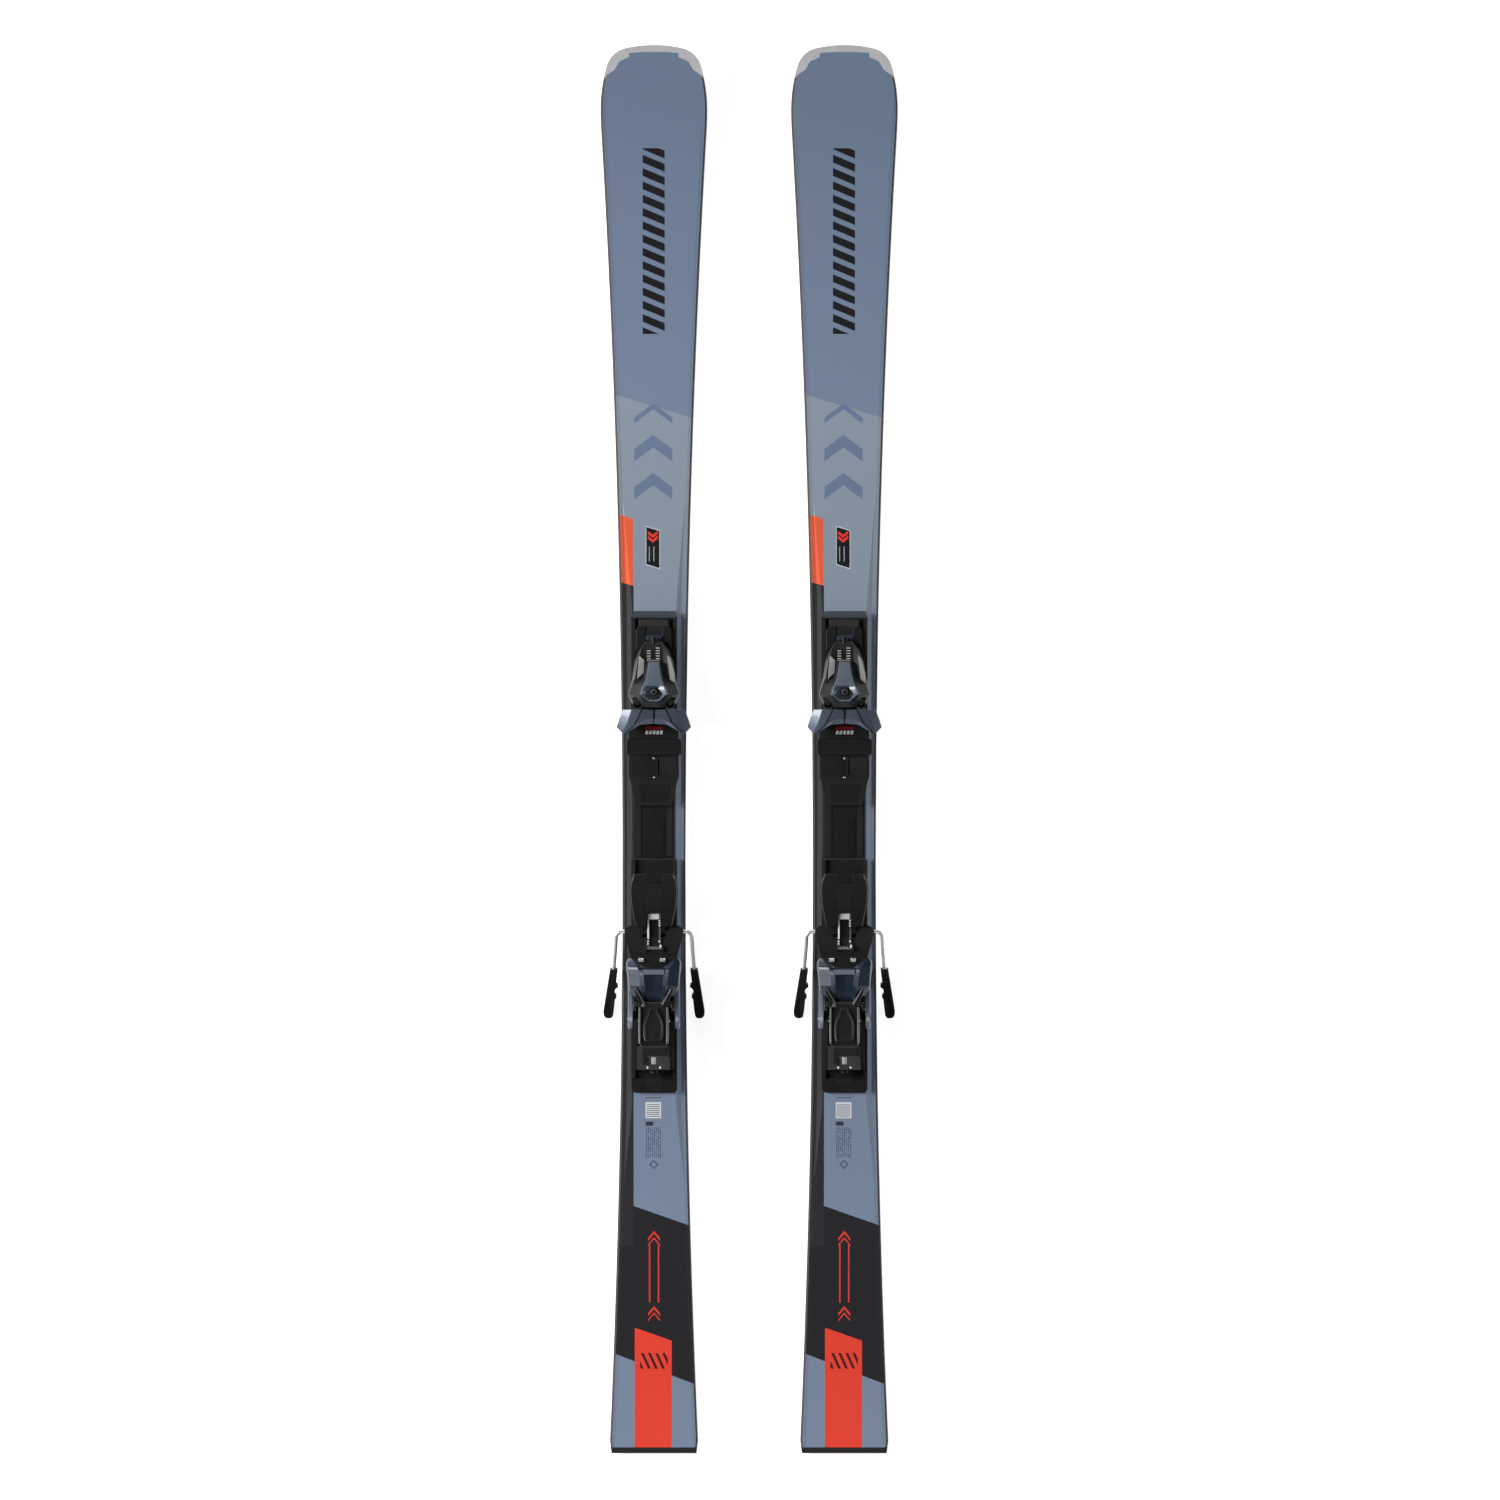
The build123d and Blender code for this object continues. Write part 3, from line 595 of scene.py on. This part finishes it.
def shoulder_strips():
    """Grey inlays in the two shoulders: one grey, painted paler on the left as painted light and darker on
    the right as painted shade.
    """
    left = [(-17.5, 113.5, 55.5), (-11.2, 108, 52.6), (-12.2, 93, 56.8), (-20, 85.4, 62)]
    right = [(16.2, 114.5, 53.6), (19.6, 110.5, 56.2), (25.3, 92, 60.8)]
    right += [(24.8, 80.5, 61.8), (19.4, 85.5, 62)]
    # painted light and shade: the left inlay gets the paler, lit grey and the right one the darker, shaded
    # grey
    for end, outline, finish in (("left", left, "inlay_lit_pale"), ("right", right, "inlay_shaded_grey")):
        shape = Shape().loft([[(x, y, z + lift) for x, y, z in outline] for lift in (-4, 0.9)])
        on_both_skis("toe_inlay_" + end, shape, "toe", "toe_housing", (), 0.3, finish=finish)


def toe_cover():
    """The slate-blue cover: a tapering tongue with a dish around the chrome screw."""
    screw_y = 69.7
    sections = [
        (106.6, [(5.6, 59), (6.6, 61.2), (6.1, 62.6), (4, 63), (0, 63.1)]),
        (95, [(7, 63), (8, 66.2), (7.4, 67.8), (4.8, 68.3), (0, 68.4)]),
        (85, [(9, 67), (10.2, 70.2), (9.4, 72), (6, 72.6), (0, 72.7)]),
        (77.5, [(11.6, 70.5), (12.9, 74), (12, 76), (6.2, 76), (0, 75.9)]),
        (74, [(13, 72), (14.3, 75.8), (13.2, 77.8), (5.4, 74.8), (0, 74.6)]),
        (67, [(14.8, 74.5), (16.3, 78.6), (15, 80.6), (5.4, 75.3), (0, 75)]),
        (62.6, [(10, 75.5), (11.8, 79), (10.8, 81), (5, 76.4), (0, 76)]),
        (58.6, [(5.5, 75.5), (6.6, 78.4), (5.8, 79.8), (3, 80), (0, 80)]),
    ]
    shape = Shape().loft([half_ring(y, half) for y, half in sections])
    on_both_skis("toe_cover_shell", shape, "toe", "toe_cover", ["toe_cover"], 0.45, angle=20)
    edge = [
        (-13.4, 72.6, 78.2), (-7, 77.4, 76.3), (2, 77, 76.2), (5.6, 73, 75.9), (5.8, 66.4, 76.7),
        (8, 62.6, 79.4), (0, 61.6, 77.6), (-8.6, 62.6, 79.8), (-14.4, 67.2, 80.7),
    ]
    sunk, proud = ([(x, y, z + lift) for x, y, z in edge] for lift in (-2, 0.12))
    inner = [(x * 0.42, screw_y + (y - screw_y) * 0.6, 76.2) for x, y, z in edge]
    dish = Shape().loft([sunk, proud, inner])
    # painted shade: the sunken dish is painted a much darker blue than the cover
    on_both_skis("toe_cover_dish", dish, "toe", "toe_cover", (), 0, finish="dish_shade_blue")
    ring = Shape().turned((0, screw_y, 75), (0, screw_y, 78.6), [(0, 5.2), (0.7, 5.2), (1, 4.6)])
    on_both_skis("toe_cover_ring", ring, "toe", "toe_housing", (), 0.2, finish="dark_seam")
    dome = [(0, 3.5), (0.35, 3.5), (0.6, 3.1), (0.82, 2.3), (0.95, 1.3), (0.951, 0.9), (0.7, 0.8)]
    screw = Shape().turned((0, screw_y, 77), (0, screw_y, 82.4), dome)
    on_both_skis("toe_cover_screw", screw, "toe", "toe_fasteners", (), 0.15, finish="dome_steel")


def toe_wing(side):
    """One wing of the toe cup: fanned facets that run down and outward, hooked over the boot's toe."""
    # each section runs from the front edge to the hooked rear edge
    sections = [
        [
            (0.5, 48.6, 73.6), (0.5, 37.4, 74), (0.5, 31.6, 69.4), (0.5, 32.4, 64),
            (0.5, 39.8, 61.8), (0.5, 39.8, 44.2), (0.5, 48.6, 44.2),
        ],
        [
            (7, 48.6, 74.2), (11, 36.6, 74.2), (16.6, 30.2, 69.6), (16.8, 31.2, 64),
            (16, 38.8, 61.8), (16, 38.8, 44.2), (7, 48.6, 44.2),
        ],
        [
            (11, 48.7, 74.8), (17, 33.8, 74), (24.6, 25.4, 69.2), (24.6, 26.6, 63.6),
            (22, 36.4, 61.4), (22, 36.4, 44.4), (11, 48.7, 44.2),
        ],
        [
            (13.8, 48.8, 75), (21.6, 32.2, 73.8), (32.4, 20.6, 68.6), (32.2, 22, 63.2),
            (28.4, 32.8, 61), (28.4, 32.8, 44.8), (14, 48.8, 44.2),
        ],
        [
            (15.4, 48.8, 75), (23.2, 31.8, 73.6), (34, 20.2, 68.4), (33.8, 21.8, 62.6),
            (30, 31.6, 60.6), (30, 31.6, 45), (16, 48.8, 44.2),
        ],
        [
            (27, 49, 74), (32, 33, 71.6), (38.4, 20.4, 66.4), (38, 22, 60),
            (35.2, 28, 58.6), (35.2, 28, 45.6), (27, 48.8, 44.8),
        ],
        [
            (37.4, 48.8, 68.8), (41.6, 38, 66.6), (45, 27.6, 63), (44.4, 27.6, 58.6),
            (41.8, 30.4, 57.6), (41.8, 30.4, 47), (37, 48.6, 47),
        ],
    ]
    shape = Shape().loft(sections)
    lug = Shape().block(15, 25, 44.5, 56, 62, 70)
    lug.rod((20, 56, 62), (20, 56, 70), 5.5)
    seams = Shape()
    crease = [(14.4, 48.6, 75), (22.2, 32.1, 73.8), (33.4, 20.6, 68.6)]
    for ends in zip(crease, crease[1:]):
        seams.loft([bar_end(x - 0.7, x + 0.9, y, z - 1, z + 0.2) for x, y, z in ends])
    seams.block(0.3, 1.1, 37.6, 48.7, 70, 74.35)
    if side < 0:
        shape.flipped()
        seams.flipped()
        lug.flipped()
    name = "toe_wing_left" if side < 0 else "toe_wing_right"
    body = "wing_left" if side < 0 else "wing_right"
    on_both_skis(name + "_shell", shape, body, name, [name], 0.5, angle=12)
    on_both_skis(name + "_seams", seams, body, name, (), 0, finish="dark_seam")
    on_both_skis(name + "_lug", lug, body, name, (), 0.4, finish="toe_housing")


def front_plate():
    """The toe carriage's nose: a grey end plate, two cheeks, ribs and a blue tab between them."""
    shape = Shape().prism([(-18.6, 149.2), (16.6, 149.2), (16.6, 157.6), (-18.6, 157.6)], 33.6, 35)
    on_both_skis("toe_nose_plate", shape, "toe", "toe_carriage", (), 0.4, finish="nose_grey")
    sides = Shape()
    left = [(-18.6, 149.4), (-10.4, 149.4), (-10.4, 128), (-17, 122), (-21.8, 120), (-21.8, 144.5)]
    right = [(16.6, 149.4), (20.4, 145), (20.4, 122), (15, 128), (10, 128), (10, 149.4)]
    sides.prism(left, 33.4, 36)
    sides.prism(right, 33.4, 35.4)
    on_both_skis("toe_nose_cheeks", sides, "toe", "toe_carriage", (), 0.8)
    ribs = Shape()
    for n in range(6):
        y = 139.2 + n * 1.9
        ribs.prism([(-9.6, y), (9.6, y + 3.6), (9.6, y + 4.5), (-9.6, y + 0.9)], 33.6, 34.5)
    on_both_skis("toe_nose_ribs", ribs, "toe", "toe_carriage", (), 0.15, finish="nose_grey")
    tab = Shape().prism([(-9, 132.2), (9.6, 132.2), (9.6, 138.2), (-9, 138.2)], 33.6, 36.6)
    on_both_skis("toe_scale_tab", tab, "toe", "toe_cover", (), 0.3, finish="tab_blue")


def slide_plate():
    """Low-friction plate across the toe deck, with rounded ends, a crown and fine grip lines."""
    corners = ((30, 10.3, 0), (-30, 10.3, 90), (-30, -2.8, 180), (30, -2.8, 270))
    rings = []
    for z, inset in ((38.4, 0.3), (41.6, 0), (42.6, 0.5), (43, 1.4)):
        radius = 3.5 - inset
        outline = []
        for x, y, first in corners:
            for step in range(6):
                a = math.radians(first + step * 18)
                outline.append((x + radius * math.cos(a), y + radius * math.sin(a), z))
        rings.append(outline)
    shape = Shape().loft(rings).without(Shape().block(-40, 40, 0.5, 7.5, 37, 40.4))
    for n in range(4):
        y = -3.4 + n * 4.4
        shape.block(-27, 27, y, y + 0.7, 42.8, 43.2)
    on_both_skis("slide_plate_skin", shape, "afd", "afd_slider", ["afd_slider"], 0.25)


def deck_ribs():
    """Low panels, screw heads and printed marks on the toe deck and its ramp."""
    shape = Shape()
    shape.prism([(-27, -9), (27, -9), (27.6, -31.5), (-27.6, -31.5)], 37.8, 38.5)
    shape = shape.without(Shape().block(4.8, 6.8, -31, -10, 36, 40))
    for y in (-10, -33):
        shape = shape.without(Shape().rod((0, y, 36), (0, y, 40), 3.4))
    on_both_skis("toe_deck_panel", shape, "toe", "toe_carriage", (), 0.3)
    sockets = Shape()
    for y in (-10, -33):
        sockets.turned((0, y, 37), (0, y, 38.7), [(0, 1.3), (0.8, 1.3), (1, 0.9)], 20)
    on_both_skis("toe_deck_sockets", sockets, "toe", "toe_fasteners", (), 0.1, finish="dome_steel")
    ramp = Shape().loft([bar_end(-19, 19, -42, 37.6, 38.1), bar_end(-15, 15, -63, 31.8, 32.7)])
    on_both_skis("toe_ramp_panel", ramp, "toe", "toe_carriage", (), 0.3)
    marks = Shape()
    for n in range(5):
        x = -10.6 + n * 4.4
        marks.prism([(x, 19), (x + 3.2, 19), (x + 4, 23.4), (x + 0.8, 23.4)], 37.9, 38.25)
    on_both_skis("toe_white_marks", marks, "toe", "toe_carriage", (), 0.05, finish="white_marks")
    marks = Shape().prism([(-11, 24.6), (10, 24.6), (10.8, 28.6), (-10.2, 28.6)], 37.9, 38.25)
    on_both_skis("toe_red_mark", marks, "toe", "toe_carriage", (), 0.05, finish="red_marks")


def make_toe_piece():
    """Everything on the toe carriage, with its wings and slide plate."""
    toe_housing()
    indicator_posts()
    shoulder_strips()
    toe_cover()
    toe_wing(-1)
    toe_wing(1)
    front_plate()
    slide_plate()
    deck_ribs()


# ---------------------------------------------------------------- heel piece


def heel_housing():
    """The heel cup: two shoulders that rise to horns, a trough between them, and an arm down each side."""
    hook = [
        (-251.2, [(29, 79), (30.5, 82), (29.6, 86), (27, 87.4), (24.4, 86), (0, 86)]),
        (-255.5, [(32.8, 78.4), (33.3, 82), (31.8, 86.6), (23.6, 88.4), (18.4, 87.6), (0, 87)]),
        (-262, [(33, 78), (33.6, 82), (31, 87.6), (19.6, 93.4), (14.6, 91.4), (0, 91)]),
    ]
    body = [
        (-262.8, [(31, 50.5), (33.4, 82), (31, 87.6), (19.2, 93.6), (14.2, 91.4), (0, 91)]),
        (-265, [(31, 50.5), (33, 82), (31, 87.8), (18, 94.2), (13.4, 91.8), (0, 91.6)]),
        (-271, [(31, 50.5), (32, 82), (30.4, 87.6), (17.2, 94.2), (12, 90), (0, 88.8)]),
        (-284, [(31, 54), (31, 81), (29.6, 87.4), (15.8, 94.3), (10.4, 88.4), (0, 87)]),
        (-292, [(29, 58), (29, 75), (26.8, 81.6), (14.4, 90), (9.8, 86), (0, 85)]),
        (-303, [(22.4, 66), (22.4, 69), (20.6, 73.4), (12.2, 82), (9, 80.4), (0, 79.8)]),
    ]
    shape = Shape().loft([half_ring(y, half) for y, half in hook + body])
    mouth = [(25.4, -240), (25.2, -251.5), (18.6, -257.4), (12.8, -261.4), (7, -263.2), (0, -263.4)]
    mouth += [(-x, y) for x, y in mouth[-2::-1]]
    shape = shape.without(Shape().prism(mouth, 60, 110))
    on_both_skis("heel_cup_shell", shape, "heel_cup", "heel_housing", ["heel_housing"], 1.5, angle=12)
    arm = [
        (-262, 58), (-262, 80), (-272, 81), (-288, 77), (-306, 72), (-320, 66.5), (-331, 60),
        (-336.6, 52), (-335, 43.4), (-325, 39.4), (-312, 42.4), (-290, 54.4),
    ]
    arms = Shape().across(arm, 25.1, 31).mirrored()
    arms = arms.without(Shape().rod((-40, *HEEL_AXLE), (40, *HEEL_AXLE), 4.1))
    # painted light: the arms are painted a much paler blue than the heel housing they belong to
    on_both_skis("heel_cup_arms", arms, "heel_cup", "heel_housing", (), 1.2, finish="arm_lit_blue")
    yoke = [(-298, 67), (-298, 79.4), (-306, 82.6), (-311, 83), (-314, 80), (-315, 70), (-306, 66)]
    yoke = Shape().across(yoke, 20.9, 25.1).mirrored()
    on_both_skis("heel_cup_yoke", yoke, "heel_cup", "heel_housing", (), 0.8, finish="heel_lever")
    # painted highlight: the lip across the heel cup is painted a pale blue, much paler than the housing
    lip = Shape().across([(-264.6, 90), (-264.6, 93), (-270.4, 91.3), (-270.4, 87)], -13.2, 12.6)
    on_both_skis("heel_cup_lip", lip, "heel_cup", "heel_housing", (), 0.5, finish="lip_highlight_blue")
    boss = [(0, 7), (0.78, 7), (0.92, 6.2), (0.92, 4.6), (0.84, 4.4)]
    hubs = Shape().turned((24, *HEEL_AXLE), (33, *HEEL_AXLE), boss)
    on_both_skis("heel_arm_bosses", hubs.mirrored(), "heel_cup", "heel_housing", (), 0.2)


def heel_lever():
    """Opening lever: rims in a lighter grey that partly stands as a painted highlight, a bottle-shaped basin
    between them, and two arms that reach forward.
    """

    def crown(y):
        """The height of the lever's top, level in front and rising towards its rear end."""
        return 90.5 + max(0.0, -312 - y) * 0.235

    def underside(y):
        """The height of the lever's lower face, which rises more steeply."""
        return 76 + max(0.0, -318 - y) * 0.46

    def ring(half, lift, level=crown):
        """A closed outline from its right half, set at a level plus a lift."""
        points = half + [(-x, y) for x, y in half[::-1]]
        return [(x, y, level(y) + lift) for x, y in points]

    outer = [(6.4, -306), (11.6, -308), (16.2, -310.4), (18.2, -316), (18.4, -338), (18, -352)]
    outer.append((15, -356.8))
    drawn_in = [(x * 0.97, y) for x, y in outer]
    core = Shape().loft([ring(outer, 0, underside), ring(outer, -4.4), ring(drawn_in, -3.2)])
    core.rod((-22.4, -306, 83), (22.4, -306, 83), 2.9)
    on_both_skis("heel_lever_core", core, "lever", "heel_lever", ["heel_lever"], 0.5, angle=20)
    bottle = [(5, -310.6), (5.4, -313.6), (8.6, -319), (11.6, -325.4), (12.6, -334), (12.4, -345)]
    bottle.append((10.6, -351))
    basin = [(4, -311.6), (4.4, -314.4), (7.4, -319.6), (10.2, -326), (11.2, -334), (10.9, -344.4)]
    basin.append((9.4, -349.6))
    floor = [(x * 0.82, -334 + (y + 334) * 0.86) for x, y in basin]
    levels = ((bottle, -3.6), (bottle, -0.6), (basin, 0.3), (basin, -0.6), (floor, -2.6))
    wall = Shape().loft([ring(outline, lift) for outline, lift in levels])
    on_both_skis("heel_lever_basin", wall, "lever", "heel_lever", (), 0.25, finish="basin_grey")
    rims = Shape()
    for x in (-16.9, 16.3):
        sections = []
        for y, w in ((-309.4, 0.7), (-312, 1), (-330, 1), (-346, 1), (-353.4, 0.8)):
            low, high = crown(y) - 4, crown(y) + 0.9 * w
            foot = [(x - 1.5 * w, y, low), (x + 1.5 * w, y, low)]
            sections.append(foot + [(x + 1.2 * w, y, high), (x - 0.9 * w, y, high)])
        rims.loft(sections)
    # partly painted highlight: the rims are painted a lighter grey than the lever
    on_both_skis("heel_lever_rims", rims, "lever", "heel_lever", (), 0.6, finish="rim_grey")
    arms = Shape()
    edges = Shape()
    arm = [(9, -311), (17.6, -307), (23.4, -289), (21, -286.6), (17.4, -293), (8.4, -306)]
    edge = [(9.4, -307.4), (11.4, -306.6), (21.6, -288.4), (21, -286.8), (20, -288)]
    for side in (-1, 1):
        arms.loft([[(side * x, y, z + (y + 311) * 0.1) for x, y in arm] for z in (81, 87.6)])
        edges.loft([[(side * x, y, z + (y + 311) * 0.1) for x, y in edge] for z in (84, 88.6)])
    edges.prism([(-15.6, -309.6), (-10.4, -309.4), (-10.6, -305.4), (-13.4, -304.4)], 84, 89.8)
    on_both_skis("heel_lever_arms", arms, "lever", "heel_lever", (), 0.6)
    # partly painted highlight: the arm edges are painted a lighter grey than the lever
    on_both_skis("heel_lever_arm_edges", edges, "lever", "heel_lever", (), 0.4, finish="rim_grey")


def latch_skin():
    """Polished parts of the length latch, and the bridge under it that covers the brake's wire."""
    bridge = Shape().block(-9.4, 9.4, -226.2, -204.8, 37.75, 38.9)
    on_both_skis("latch_bridge", bridge, "heel", "heel_carriage", (), 0.3, finish="dark_seam")
    shape = Shape().block(-7, 6.4, -204.3, -197.6, 41.6, 42.7)
    shape.block(-7.7, -5.7, -228, -204.3, 41.2, 42.1)
    teeth = (
        (-7, -206), (-7, -209.6), (6.8, -206), (6.8, -209),
        (6.8, -212), (-7, -231), (-7, -234), (6.8, -231),
    )
    for x, y in teeth:
        shape.block(x - 1.1, x + 1.1, y - 0.9, y + 0.9, 41.2, 42.3)
    on_both_skis("latch_tab", shape, "latch", "length_latch", (), 0.35, finish="bright_steel")
    bar = Shape().rod((-7.6, -238, 41.4), (7.4, -238, 41.4), 0.9, 16)
    on_both_skis("latch_bar", bar, "latch", "length_latch", (), 0.1, finish="rim_grey")
    stop = Shape().block(7.3, 9.6, -239.4, -235.4, 40.6, 42.6)
    on_both_skis("latch_stop", stop, "latch", "length_latch", (), 0.5, finish="bright_steel")


def heel_top_details():
    """Rollers beside the latch, the indicator frame, its mark and two bright screws."""
    rollers = Shape()
    for x in (-15.5, 10.5):
        rollers.rod((x - 3.2, -253.5, 37.4), (x + 3.2, -253.5, 37.4), 2.6, 20)
    rollers.turned((-19.7, -211, 37), (-19.7, -211, 39.2), [(0, 1.9), (0.7, 1.9), (1, 1.2)], 20)
    on_both_skis("heel_rollers", rollers, "heel", "heel_axle", (), 0.4, finish="dome_steel")
    # painted light: this skin over the heel's rear is painted a lighter grey than the carriage, against the
    # shade that falls there
    skin = Shape().block(-19.7, 19.7, -385.7, -356.8, 56, 56.8)
    skin = skin.without(Shape().block(-9.6, -5.6, -377.2, -370, 55, 58))
    on_both_skis("heel_rear_skin", skin, "heel", "heel_carriage", (), 0.3, finish="cover_lit_grey")
    frame_parts = Shape()
    frame_parts.block(-14, 15, -368.6, -359.4, 56.2, 58)
    frame_parts.block(-14, -10.4, -379.4, -368.6, 56.2, 57.8)
    frame_parts.block(-10.4, -5.6, -379.4, -377.4, 56.2, 57.8)
    frame_parts.block(16.6, 19.8, -370.5, -357.4, 56.2, 57.4)
    on_both_skis("heel_indicator_frame", frame_parts, "heel", "heel_carriage", (), 0.35)
    mark = Shape().block(-3, 1, -379, -370.4, 56.2, 57.2)
    mark.block(1.6, 2.6, -379, -370.4, 56.2, 56.9)
    on_both_skis("heel_indicator_mark", mark, "heel", "heel_carriage", (), 0.2, finish="pale_marks")
    screws = Shape()
    for x in (-7.5, 7.5):
        screws.turned((x, -383, 55.6), (x, -383, 57.4), [(0, 1.4), (0.7, 1.4), (1, 0.9)], 20)
    on_both_skis("heel_cover_screws", screws, "heel", "heel_axle", (), 0.1, finish="bright_steel")


def track_end_ribs():
    """Slanted ribs on the end of the rear track."""
    ribs = Shape()
    for n in range(9):
        y = -416.4 + n * 2.9
        ribs.prism([(-10.2, y + 11.4), (10.2, y), (10.2, y + 1.2), (-10.2, y + 12.6)], 25, 27.9)
    keep = Shape().block(-10.1, 10.1, -411.6, -388.4, 24, 25.75)
    keep.block(-10.1, 10.1, -411.6, -397, 27.3, 27.8)
    ribs = ribs.within(keep)
    on_both_skis("track_end_ribs", ribs, "ski", "tracks", (), 0.1, finish="nose_grey")


def let_down(shape):
    """Turns a brake piece that was drawn level down to the brake's rest angle."""
    y0, z0 = BRAKE_AXIS
    droop = math.radians(BRAKE_DROOP)
    for v in shape.mesh.verts:
        y, z = v.co.y - y0, v.co.z - z0
        v.co.y = y0 + y * math.cos(droop) - z * math.sin(droop)
        v.co.z = z0 + y * math.sin(droop) + z * math.cos(droop)
    return shape


def brake_grips():
    """Brake grips: flat-sided plastic blades with two teeth on the inner side and a rounded end."""
    outline = [
        (52.8, -266), (61.2, -319.6), (60.8, -323.4), (59.2, -326.2), (56.8, -327.4), (53, -327.5),
        (50.8, -326.4), (49.6, -324), (48.6, -317.6), (47.2, -303.6), (45.4, -301.1), (45.6, -299.1),
        (48, -296.6), (46.8, -290.6), (43.4, -288), (43.8, -285.4), (46, -284.2), (43.8, -266),
    ]
    shape = Shape().prism(outline, 30.2, 40.2)
    panel = [(54.2, -300), (58.6, -318), (57.4, -322.6), (53.4, -322.6), (51.6, -318), (50.4, -303)]
    shape = shape.without(Shape().prism(panel, 39.5, 42))
    shape.rod((55.2, -319.6, 38), (55.2, -319.6, 40.1), 1.5, 16)
    shape = let_down(shape.mirrored())
    on_both_skis("brake_grip_shells", shape, "brake", "brake_grips", ["brake_grips"], 0.7)


def brake_pedal():
    """The pedal's tread bars, its middle panel and the grey rims along its sides."""
    bars = Shape()
    for n in range(6):
        y = -199 + n * 5.2
        half = 22 if y > -185 else 18
        for x0, x1 in ((-half, -11), (11, half)):
            bars.block(x0, x1, y, y + 2, 42.6, 43.3)
    bars.block(-9, 9, -190, -164, 42.6, 43.2)
    on_both_skis("brake_pedal_tread", let_down(bars), "brake", "brake_pedal", (), 0.3)
    line = [(23.4, -146), (26.8, -153.4), (28.4, -165), (27.2, -182.6), (21.9, -209.6)]
    rims = Shape()
    for side in (-1, 1):
        profile = ((1, 42.4), (0, 42.4), (0.3, 43.2), (0.8, 43.2))
        rims.loft([[(side * (x - inset), y, z) for inset, z in profile] for x, y in line])
    on_both_skis("brake_pedal_rims", let_down(rims), "brake", "brake_pedal", (), 0, finish="rim_grey")


def make_heel_piece():
    """Everything on the heel carriage, with its lever, latch and brake."""
    heel_housing()
    heel_lever()
    latch_skin()
    heel_top_details()
    track_end_ribs()
    brake_grips()
    brake_pedal()


make_toe_piece()
make_heel_piece()


# ---------------------------------------------------------------- studio


def studio_floor():
    """A plain pale floor, wide enough to fill low views, that glows a little so that it stays white."""
    mesh = bpy.data.meshes.new("floor")
    reach = 40.0
    corners = [(-reach, -reach, 0), (reach, -reach, 0), (reach, reach, 0), (-reach, reach, 0)]
    mesh.from_pydata(corners, [], [(0, 1, 2, 3)])
    floor = bpy.data.objects.new("floor", mesh)
    bpy.context.scene.collection.objects.link(floor)
    f = Finish("floor", roughness=0.9, specular_ior_level=0.0, emission_strength=0.85)
    f.paint(f.mix(f.noise(400, 2), (0.6, 0.6, 0.6, 1), (0.62, 0.62, 0.62, 1)))
    f.feed(f.shader.inputs["Emission Color"], (1, 1, 1, 1))
    mesh.materials.append(f.material)


def soft_light(name, place, size, watts):
    """A large soft box aimed at the middle of the skis."""
    lamp = bpy.data.lights.new(name, "AREA")
    lamp.shape = "RECTANGLE"
    lamp.size, lamp.size_y = size
    lamp.energy = watts
    obj = bpy.data.objects.new(name, lamp)
    obj.location = place
    obj.rotation_euler = (-Vector(place)).to_track_quat("-Z", "Y").to_euler()
    obj.visible_camera = False
    bpy.context.scene.collection.objects.link(obj)


def studio():
    """The floor, a key light from the left, three weaker fills and a dim even sky."""
    studio_floor()
    soft_light("key_left", (-5.2, 0.8, 3.9), (2.2, 4.5), 560)
    soft_light("fill_right", (5.4, -0.4, 1.3), (4.5, 0.8), 100)
    soft_light("fill_tips", (0.0, 6.0, 3.0), (3.5, 1.2), 80)
    soft_light("fill_tails", (0.0, -6.0, 2.8), (3.5, 1.2), 60)
    world = bpy.data.worlds.new("studio")
    world.use_nodes = True
    sky = world.node_tree.nodes["Background"].inputs
    sky["Color"].default_value = (1, 1, 1, 1)
    sky["Strength"].default_value = 0.06
    bpy.context.scene.world = world
    bpy.context.scene.view_settings.view_transform = "Standard"


def camera():
    """Straight down from twenty metres, tips up in the picture."""
    lens = bpy.data.cameras.new("camera")
    lens.lens = 400
    lens.sensor_width = 36
    lens.clip_end = 200
    obj = bpy.data.objects.new("camera", lens)
    obj.location = (0.001, 0.0, 20.16)
    bpy.context.scene.collection.objects.link(obj)
    bpy.context.scene.camera = obj


studio()
camera()
